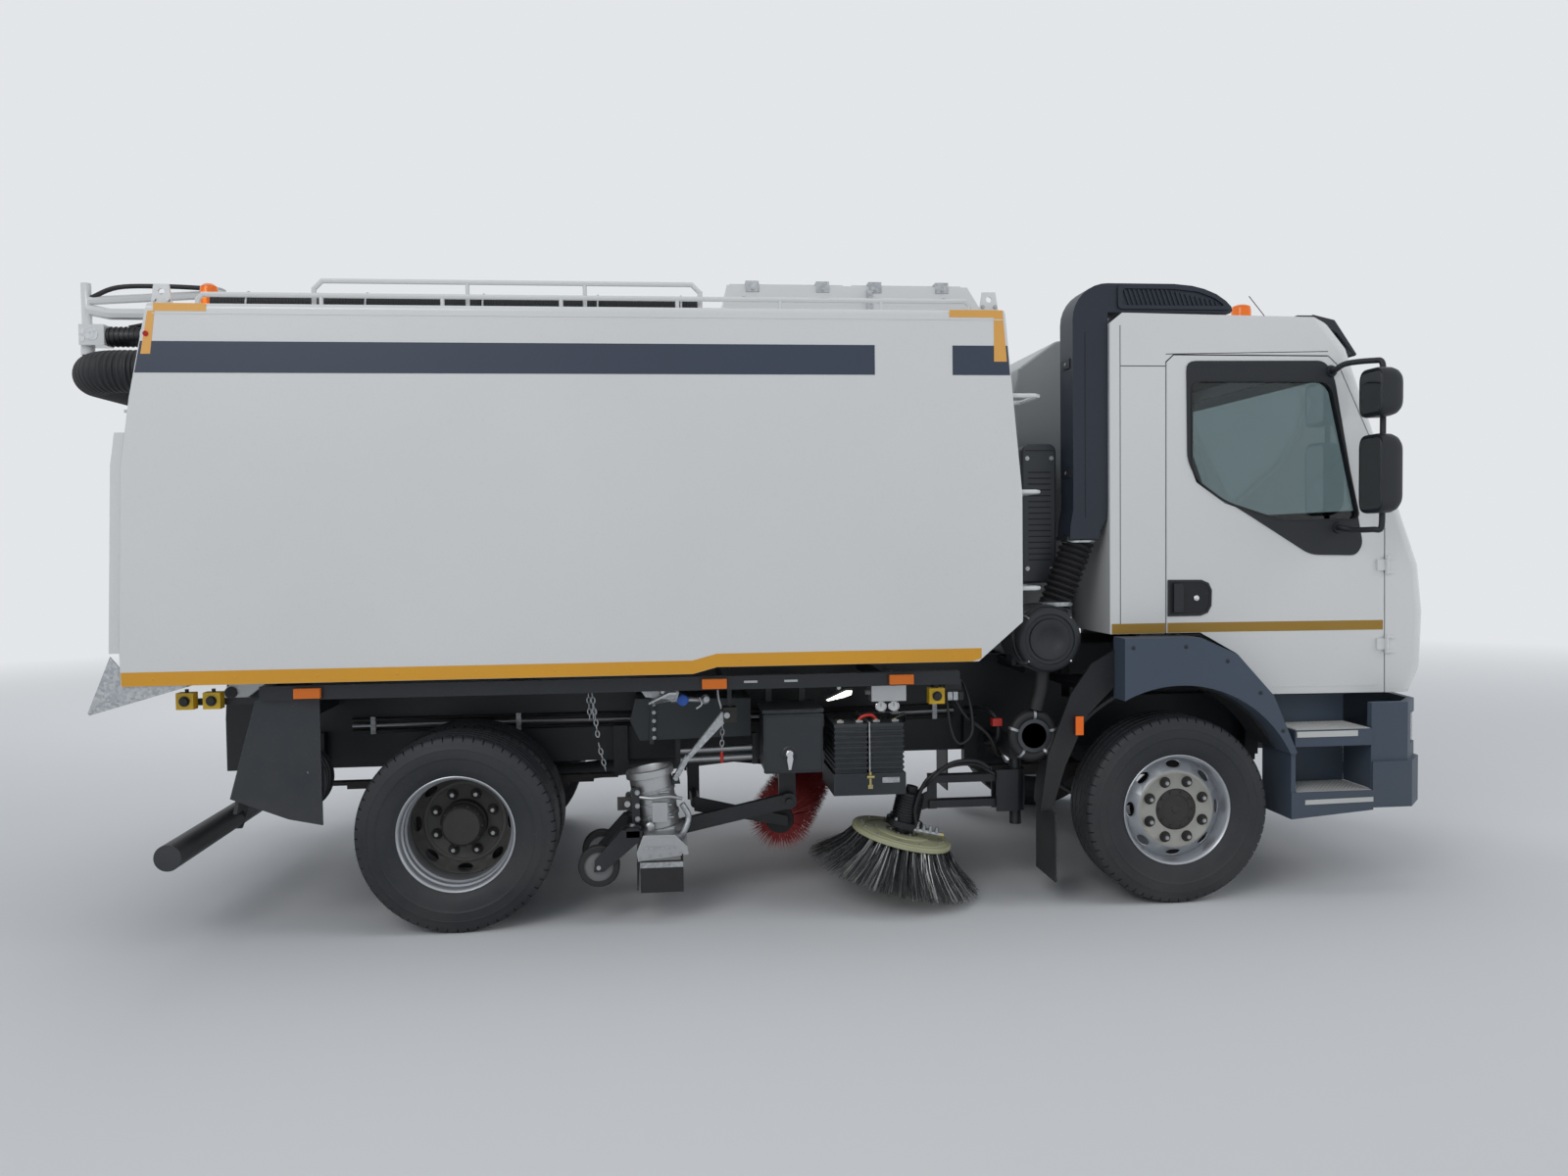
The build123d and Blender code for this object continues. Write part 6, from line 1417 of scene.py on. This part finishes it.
def make_side_gear(context):
    """Cabinet, batteries, valves, button boxes, chains and pipes on the right, and the nozzle's fittings."""
    form = Form()
    # Control cabinet: door seam, hinges and turned handle
    for x0, x1, z0, z1 in ((1.368, 1.626, 0.6615, 0.6635), (1.368, 1.626, 0.9115, 0.9135),
            (1.368, 1.37, 0.6615, 0.9135), (1.624, 1.626, 0.6615, 0.9135)):
        form.block((x0, x1), (-1.1015, -1.0998), (z0, z1), "liner_plastic")
    latch = at(1.478, -1.1, 0.742)
    form.lathe(mm((36, 0), (36, 3), (30, 6), (28, 3), (0, 3)), latch, RIGHT, "cabinet_paint", 32)
    form.lathe(mm((16, 2), (16, 12), (10, 15), (0, 15)), latch, RIGHT, "chrome", 24)
    form.slab(mm((1470, 752), (1486, 756), (1494, 720), (1484, 672), (1473, 670), (1466, 715)), -1.118, -1.11,
        "chrome")
    for z in (0.7, 0.86):
        form.rod((1.632, -1.094, z), (1.632, -1.094, z + 0.05), 0.007, FRAME, 12)
    form.block((1.356, 1.639), (-1.098, -0.752), (0.937, 0.941), "cabinet_paint")
    # Batteries: lids, terminals, cables, straps and the tray's wing nut
    for low in (1.69, 1.858):
        form.block((low - 0.003, low + 0.151), (-1.084, -0.742), (0.85, 0.866), "battery_plastic")
        for x in (low + 0.03, low + 0.118):
            form.rod((x, -1.04, 0.866), (x, -1.04, 0.882), 0.01, "brass", 14)
            form.block(about(x, 0.016), (-1.055, -1.022), (0.868, 0.878), ZINC)
        for cap in range(3):
            form.rod((low + 0.03 + 0.044 * cap, -0.92, 0.866), (low + 0.03 + 0.044 * cap, -0.92, 0.872), 0.014,
                "cable_black", 16)
    form.tube([(1.808, -1.04, 0.88), (1.83, -1.05, 0.898), (1.866, -1.05, 0.9), (1.888, -1.04, 0.88)], 0.008,
        "handle_red", 10)
    form.tube([(1.976, -1.04, 0.88), (2.02, -1.04, 0.9), (2.034, -0.98, 0.86), (2.03, -0.8, 0.8), (2.0, -0.46, 0.78)],
        0.008, "cable_black", 10)
    form.block((1.846, 1.852), (-1.092, -0.74), (0.64, 0.875), ZINC)
    form.rod((1.849, -1.101, 0.575), (1.849, -1.101, 0.648), 0.0065, "brass", 12)
    form.rod((1.832, -1.108, 0.625), (1.866, -1.108, 0.625), 0.0075, "brass", 12)
    form.block((1.838, 1.86), (-1.1045, -1.0998), (0.57, 0.588), "brass")
    form.block((1.905, 1.985), (-1.1012, -1.0998), (0.595, 0.62), ZINC)
    # Valve block with two gauges, hung from the subframe
    form.block((1.868, 2.03), (-1.045, -0.955), (0.962, 1.034), "alloy")
    form.block((1.89, 1.93), (-0.99, -0.97), (1.034, 1.0515), ZINC)
    for x in (1.912, 1.972):
        form.lathe(mm((24, 0), (26, 3), (26, 22), (23, 24), (22, 20), (0, 20)), (x, -1.02, 0.938), RIGHT, "chrome",
            28)
        form.rod((x, -1.0405, 0.938), (x, -1.041, 0.938), 0.0215, "hopper_paint", 28)
        form.block(about(x, 0.0012), (-1.0425, -1.041), (0.936, 0.954), "cable_black")
        form.rod((x, -1.008, 0.952), (x, -1.008, 0.964), 0.009, "brass", 12)
        form.rod((x + 0.02, -0.985, 0.905), (x + 0.02, -0.985, 0.964), 0.01, ZINC, 12)
    form.rod((1.868, -1.0, 1.0), (1.845, -1.0, 1.0), 0.012, BOLTS, 6)
    # Button boxes
    for x, z, y in ((2.172, 0.982, -1.06), (-1.024, 1.045, -1.1), (-1.135, 1.045, -1.1)):
        form.block(about(x, 0.036), (y, y + 0.055), about(z, 0.036), "warning_yellow")
        form.lathe(mm((22, 0), (22, 6), (17, 6), (17, 16), (0, 18)), (x, y, z), RIGHT, "cable_black", 24)
        form.block(about(x, 0.01), (y + 0.055, y + 0.08), about(z, 0.02), FRAME)
        form.rod((x, y + 0.03, z + 0.036), (x, y + 0.03, z + 0.05), 0.008, "cable_black", 12)
    form.block((2.16, 2.184), (-1.03, -0.99), (1.014, 1.0505), FRAME)
    form.block((-1.175, -0.79), (-1.042, -1.022), (1.02, 1.049), FRAME)
    form.block((-0.826, -0.79), (-1.0605, -1.022), (1.0, 1.049), FRAME)
    for x in (2.236, 2.262, 2.288):
        form.block(about(x, 0.011), (-1.05, -1.01), (0.96, 0.998), ZINC if x < 2.28 else "cable_black")
    form.block((2.22, 2.3), (-1.01, -1.0), (0.955, 1.0505), FRAME)
    # Tapped wash-water line with its blue valve, and a galvanised junction box
    form.slab(mm((800, 1060), (835, 1012), (975, 1000), (985, 1030), (960, 1050.5), (820, 1050.5)), -1.085, -1.015,
        ZINC)
    for x in (0.85, 0.93):
        form.bolt((x, -1.0852, 1.03), RIGHT, 0.005, 0.004)
    form.lathe(mm((24, 0), (27, 4), (24, 20), (12, 24), (0, 24)), (1.0, -1.07, 0.995), RIGHT, "valve_blue", 20)
    form.tube([(0.95, -1.04, 0.99), (1.0, -1.055, 0.995), (1.06, -1.055, 0.992), (1.1, -1.05, 0.99)], 0.011, BOLTS,
        12)
    form.lathe(mm((20, 0), (22, 10), (14, 18), (14, 34), (0, 36)), (1.1, -1.045, 0.992), (0.2, -1, 0.1), ZINC, 20)
    form.tube([(1.075, -1.075, 1.005), (1.085, -1.082, 0.975), (1.06, -1.082, 0.955)], 0.005, BOLTS, 8)
    # Grey air duct behind, with its bolted flange
    form.slab(mm((780, 965), (1330, 955), (1330, 775), (800, 765), (755, 860)), -0.76, -0.46, "tank_grey")
    form.slab(mm((855, 985), (875, 985), (865, 750), (845, 750)), -0.775, -0.45, "tank_grey")
    for z in (0.78, 0.82, 0.86, 0.9, 0.94):
        form.bolt((0.868, -0.7755, z), RIGHT, 0.007, 0.006)
    # Hook plate, chain holding the nozzle up, and the zinc lifting lever
    form.block((0.57, 0.612), (-1.012, -0.99), (1.03, 1.0515), ZINC)
    add_chain(form, (0.592, -1.0, 1.032), (0.617, -0.985, 0.8), ZINC)
    for x, z in ((0.585, 0.9), (0.602, 0.9)):
        add_chain(form, (x - 0.01, -0.985, 1.032), (x - 0.005, -0.985, z), ZINC)
    form.block((1.185, 1.245), (-1.03, -0.96), (0.88, 0.95), "cast_iron")
    form.rod((1.2, -1.045, 0.915), (1.2, -0.95, 0.915), 0.014, BOLTS, 16)
    form.block((1.205, 1.225), (-1.005, -0.985), (0.95, 1.0515), FRAME)
    for offset in (-0.016, 0.016):
        form.slab(mm((1176, 925), (1212, 935), (1216, 905), (1030, 715), (1015, 725)), -1.0 + offset - 0.003,
            -1.0 + offset + 0.003, ZINC)
    form.tube([(1.16, -0.99, 1.05), (1.165, -0.99, 0.99), (1.178, -0.99, 0.94)], 0.006, BOLTS, 8)
    add_chain(form, (1.182, -0.99, 0.87), (1.178, -0.98, 0.74), BOLTS)
    form.rod((1.178, -0.98, 0.74), (1.178, -0.98, 0.69), 0.008, "handle_red", 12)
    # Zinc tie bars behind the nozzle
    for z in (0.655, 0.7):
        form.rod((0.98, -0.7, z), (1.36, -0.7, z + 0.01), 0.016, BOLTS, 16)
    for x in (0.98, 1.35):
        form.block(about(x, 0.012), (-0.72, -0.68), (0.63, 0.78), FRAME)
    # Nuts on the side rail
    for x in (1.3, 1.48):
        form.block(about(x, 0.03), (-1.1835, -1.1803), (1.078, 1.088), BOLTS)
    # Black pipes and hoses along the frame and down to the brush carrier
    for line, z in enumerate((0.8, 0.828, 0.856)):
        form.tube([(-0.6, -0.447, z), (0.6, -0.447, z), (1.8, -0.447, z - 0.01), (2.4, -0.447, z)], 0.009,
            BOLTS if line == 1 else "cable_black", 8, 2)
    for x in (-0.5, 0.2, 0.9, 1.6, 2.3):
        form.block(about(x, 0.012), (-0.459, -0.4303), (0.786, 0.87), ZINC)
    form.tube([(2.172, -1.03, 1.032), (2.2, -1.0, 1.035), (2.231, -1.0, 0.955), (2.25, -1.0, 0.82),
        (2.29, -1.0, 0.747), (2.35, -1.0, 0.79), (2.352, -0.99, 0.9), (2.33, -0.97, 1.0), (2.31, -0.95, 1.05)],
        0.0065, "cable_black", 8)
    form.tube([(2.27, -1.0, 0.957), (2.33, -0.98, 0.87), (2.44, -0.95, 0.78), (2.5, -0.9, 0.68), (2.54, -0.8, 0.66),
        (2.55, -0.5, 0.7)], 0.009, "cable_black", 8)
    form.tube([(2.42, -0.6, 0.86), (2.46, -0.86, 0.885), (2.5, -0.91, 0.833), (2.5, -0.89, 0.74), (2.5, -0.7, 0.7)],
        0.011, "hose_rubber", 10)
    form.block((2.47, 2.516), (-0.935, -0.895), (0.815, 0.85), "handle_red")
    form.place("side_gear", "chassis", "box_grey", bevel=0.0012, segments=1)
    # Cables and lever foot that ride with the nozzle
    form = Form()
    add_chain(form, (0.617, -0.985, 0.795), (0.648, -0.985, 0.668), ZINC)
    for offset in (-0.022, 0.022):
        form.slab(mm((1012, 728), (1030, 716), (985, 640), (962, 615), (950, 628)), -0.985 + offset - 0.003,
            -0.985 + offset + 0.003, ZINC)
    form.rod((0.966, -1.02, 0.628), (0.966, -0.95, 0.628), 0.01, BOLTS, 14)
    form.slab(mm((945, 600), (985, 600), (975, 645), (950, 645)), -0.998, -0.972, FRAME)
    form.block((0.765, 0.8), (-1.07, -0.87), (0.44, 0.6), FRAME)
    form.block((0.7, 0.775), (-1.06, -1.05), (0.5, 0.56), "cast_iron")
    for z in (0.46, 0.52, 0.58):
        form.bolt((0.79, -1.0705, z), RIGHT, 0.009, 0.008)
    form.rod((0.745, -1.075, 0.53), (0.745, -0.86, 0.53), 0.014, BOLTS, 14)
    form.tube([(0.8, -1.075, 0.56), (0.86, -1.085, 0.555), (0.93, -1.08, 0.56), (0.99, -1.06, 0.545)], 0.008, BOLTS,
        8)
    form.block((0.855, 0.925), (-1.085, -1.063), (0.445, 0.535), "alloy")
    form.tube([(0.99, -1.05, 0.52), (1.02, -1.05, 0.46), (1.0, -1.06, 0.4), (0.98, -1.05, 0.37)], 0.014, ZINC, 12)
    form.lathe(mm((20, 0), (20, 16), (12, 22), (0, 22)), (0.845, -1.083, 0.43), RIGHT, BOLTS, 20)
    form.place("nozzle_fittings", "suction_nozzle", "nozzle_alloy", bevel=0.001, segments=1)


def make_brush_fittings(context):
    """Hoses and manifold of the side brush."""
    form = Form()
    form.tube([(2.092, -0.955, 0.352), (2.088, -0.96, 0.45), (2.14, -0.975, 0.575), (2.25, -0.97, 0.636),
        (2.38, -0.96, 0.64), (2.47, -0.95, 0.59)], 0.0095, "cable_black", 12, 6)
    form.tube([brush_point(0.115, -2.1, 0.065), brush_point(0.14, -1.95, 0.15), (2.145, -1.005, 0.575),
        (2.25, -0.99, 0.652), (2.37, -0.98, 0.66), (2.44, -0.97, 0.625)], 0.0095, "hose_rubber", 12, 6)
    # Manifold with its fittings ahead of the motor, clear of the links
    start, end = at(2.078, -0.955, 0.337), at(2.205, -0.953, 0.3075)
    form.rod(start, end, 0.0115, ZINC, 6)
    for share in (0.12, 0.36, 0.6, 0.84):
        foot = start.lerp(end, share)
        form.rod(foot, foot + brush_axis * 0.022, 0.0115, BOLTS, 6)
        form.rod(foot + brush_axis * 0.022, foot + brush_axis * 0.034, 0.008, ZINC, 12)
    form.rod(end, end + (end - start).normalized() * 0.016, 0.0125, "brass", 6)
    form.place("brush_fittings", "brush_head", "chassis_black")


def make_lamp_units(context):
    """Side lamps on their feet, one unlit and one lit work lamp, and rear clusters."""
    form = Form()
    for _, side in SIDES:
        for x in (-0.597, 1.138, 1.977):
            form.block(about(x, 0.058), (side * 1.1803, side * 1.1865), (1.055, 1.103), BLACK)
            form.block(about(x, 0.054), (side * 1.1862, side * 1.2098), (1.058, 1.1), "lamp_amber")
        # Rear cluster: turn signal, tail and stop, reversing lamp, reflector
        form.block((-0.948, -0.926), (side * 0.7, side * 1.04), (0.585, 0.69), BLACK)
        for y0, y1, lens in ((0.93, 1.032, "lamp_amber"), (0.826, 0.926, "lamp_red"), (0.766, 0.822, "lamp_clear"),
                (0.708, 0.762, "lamp_red")):
            form.block((-0.9548, -0.9475), (side * y0, side * y1), (0.592, 0.683), lens)
        form.block((2.812, 2.848), (side * 1.0903, side * 1.094), (0.792, 0.878), BLACK)
    for x, lens, shell in ((0.91, "lamp_clear", "alloy"), (1.7, "lamp_lit", BLACK)):
        form.slab([(x - 0.061, 0.99), (x + 0.03, 1.0305), (x + 0.06, 1.03), (x + 0.056, 1.01), (x + 0.02, 0.998),
            (x - 0.05, 0.984)], -1.155, -1.095, lens)
        form.slab([(x - 0.063, 0.994), (x + 0.028, 1.04), (x + 0.062, 1.0405), (x + 0.062, 1.029), (x + 0.03, 1.0295),
            (x - 0.062, 0.989)], -1.16, -1.09, shell)
        form.block(about(x, 0.012), (-1.15, -1.141), (1.03, 1.0505), FRAME)
        form.bolt((x, -1.151, 1.043), RIGHT, 0.007, 0.005)
    form.place("lamp_units", "chassis", "lamp_amber", ["lamps"], bevel=0.004, segments=2)


def make_rear_dress(context):
    """Latches, seal and blank plate of the tailgate, the reel's hose, and straps and cap of the tank."""
    form = Form()
    for y in (-1.15, 1.15):
        form.block((-1.385, -1.372), about(y, 0.02), (1.3, 1.42), ZINC)
        form.rod((-1.388, y, 1.3), (-1.388, y, 1.44), 0.009, BOLTS, 12)
    for y0, y1 in ((-0.56, -0.54), (0.54, 0.56)):
        form.slab([(-1.344, 2.1), (-1.348, 2.1), (-1.3835, 1.3), (-1.3795, 1.3)], y0, y1, "hopper_paint")
    for y in (-1.12, -0.6, 0.0, 0.6, 1.12):
        form.bolt((-1.3315, y, 2.165), (-1, 0, -0.05), 0.01, 0.008)
    form.tube([(-1.39, 0.06, 1.52), (-1.43, 0.06, 1.5), (-1.43, -0.14, 1.5), (-1.39, -0.14, 1.52)], 0.01, ZINC, 10)
    form.place("tailgate_fittings", "tailgate", "hopper_white", bevel=0.001, segments=1)
    form = Form()
    # Hose wound on its reel, with the hand crank
    reel = at(-0.7, -1.122, 0.69)
    for turn in range(5):
        for layer in range(2 - turn % 2):
            form.lathe([(0.128 + 0.016 * layer + 0.0085 * cos(a), 0.0085 * sin(a)) for a in around(8)],
                reel + Vector((0, 0.013 + 0.019 * turn, 0)), LEFT, "hose_rubber", 36, True)
    form.tube([(-0.7, -1.133, 0.69), (-0.7, -1.14, 0.69), (-0.62, -1.142, 0.73), (-0.62, -1.15, 0.73)], 0.007, BOLTS,
        8, 2)
    for angle in around(5):
        x, z = -0.7 + 0.095 * cos(angle), 0.69 + 0.095 * sin(angle)
        form.rod((x, -1.1305, z), (x, -1.1315, z), 0.022, "liner_plastic", 20)
    # Blank plate and its lamp
    form.block((-0.9365, -0.9305), (-0.26, 0.26), (0.59, 0.7), BLACK)
    form.block((-0.939, -0.9365), (-0.25, 0.25), (0.598, 0.692), "hopper_paint")
    form.block((-0.955, -0.93), (-0.05, 0.05), (0.704, 0.722), BLACK)
    # Tank straps and cap
    for x in (1.64, 2.15):
        form.block((x, x + 0.035), (0.53, 0.99), (1.0005, 1.003), ZINC)
        form.block((x, x + 0.035), (1.0603, 1.063), (0.64, 0.93), ZINC)
        form.bolt((x + 0.0175, 1.063, 0.78), LEFT, 0.009, 0.008)
    form.lathe(mm((50, 32), (53, 34), (53, 58), (46, 62), (0, 62)), (2.2, 0.95, 1.0), UP, BLACK, 32)
    # Red reflectors on the underrun bar and hoses across the rear
    for y in (-1.1, 1.1):
        form.block((-1.2505, -1.2455), about(y, 0.05), (0.37, 0.41), "lamp_red")
    for line in range(3):
        y = -0.36 - 0.03 * line
        form.tube([(-1.1, y, 0.9), (-1.02, y, 0.97), (-0.8, y, 1.0), (-0.5, y, 0.96), (-0.2, y, 0.9)], 0.01,
            "hose_rubber", 10)
    form.place("rear_fittings", "chassis", "chassis_black", bevel=0.001, segments=1)


def make_boom_dress(context):
    """Dark winch motor, cable with its hook, swivel cap and hoses of the boom."""
    form = Form()
    y = -0.6
    form.lathe(mm((42.5, 0), (43.5, 4), (43.5, 150), (36, 160), (0, 161)), (-1.609, y, 2.685), (1, 0, 0),
        "cable_black", 28)
    for rib in range(6):
        form.band((0.0435, 0.003), (0.0475, 0.002), (-1.595 + 0.022 * rib, y, 2.685), (1, 0, 0), BLACK, 28)
    for z in (2.668, 2.702):
        form.rod((-1.705, y - 0.052, z), (-1.705, y + 0.052, z), 0.012, BOLTS, 16)
    form.rod((-1.665, y - 0.0515, 2.69), (-1.665, y + 0.0515, 2.69), 0.03, ZINC, 24)
    form.rod((-1.703, y, 2.596), (-1.703, y, 2.6005), 0.024, "cable_black", 24)
    form.tube([(-1.69, y, 2.86), (-1.55, y - 0.035, 2.905), (-1.35, y - 0.035, 2.912), (-1.17, y - 0.02, 2.908),
        (-1.135, y - 0.01, 2.902)], 0.011, "hose_rubber", 12, 6)
    form.tube([(-1.52, y, 2.728), (-1.45, y + 0.03, 2.75), (-1.32, y + 0.03, 2.772), (-1.2, y + 0.03, 2.8)], 0.01,
        "cable_black", 10, 5)
    form.lathe(mm((44, 0), (44, 6), (30, 14), (0, 15)), (-1.13, y, 2.8995), UP, ZINC, 28)
    for z in (2.795, 2.845):
        form.band((0.0425, 0.006), (0.0455, 0.005), (-1.13, y, z), UP, "hopper_paint", 32)
    form.place("boom_fittings", "boom", "rail_white")


def new_operator(work):
    """Operator class that runs one maker function."""
    name = work.__name__.removeprefix("make_")

    def execute(self, context):
        work(context)
        return {"FINISHED"}

    return type("SWEEPER_OT_" + name, (bpy.types.Operator,), {"bl_idname": "sweeper." + name,
        "bl_label": name.replace("_", " ").capitalize(), "__doc__": work.__doc__, "execute": execute,
        "bl_options": {"REGISTER", "UNDO"}})


operators = [new_operator(work) for work in (
    make_stage, make_nodes, make_tyres, make_wheels, make_hopper_dress, make_hoses, make_doors, make_cab_inside,
    make_cab_front, make_headlamps, make_steps, make_mirrors, make_side_brush, make_channel_brush, make_nozzle,
    make_intake, make_side_gear, make_brush_fittings, make_lamp_units, make_rear_dress, make_boom_dress)]


class SWEEPER_PT_pieces(bpy.types.Panel):
    """Lists the machine's pieces in the sidebar."""

    bl_label = "Road sweeper"
    bl_idname = "SWEEPER_PT_pieces"
    bl_space_type = "VIEW_3D"
    bl_region_type = "UI"
    bl_category = "Sweeper"

    def draw(self, context):
        for group in (context.scene.sweeper_sizes, context.scene.sweeper_colours):
            box = self.layout.box()
            for name in group.bl_rna.properties.keys():
                if name not in ("name", "rna_type"):
                    box.prop(group, name)
        for operator in operators:
            self.layout.operator(operator.bl_idname)


def register():
    for made in (SweeperSizes, SweeperColours, *operators, SWEEPER_PT_pieces):
        bpy.utils.register_class(made)
    bpy.types.Scene.sweeper_sizes = PointerProperty(type=SweeperSizes)
    bpy.types.Scene.sweeper_colours = PointerProperty(type=SweeperColours)


def unregister():
    del bpy.types.Scene.sweeper_sizes
    del bpy.types.Scene.sweeper_colours
    for made in reversed((SweeperSizes, SweeperColours, *operators, SWEEPER_PT_pieces)):
        bpy.utils.unregister_class(made)


def main():
    register()
    for operator in operators:
        getattr(bpy.ops.sweeper, operator.bl_idname.split(".")[1])()


if __name__ == "__main__":
    main()
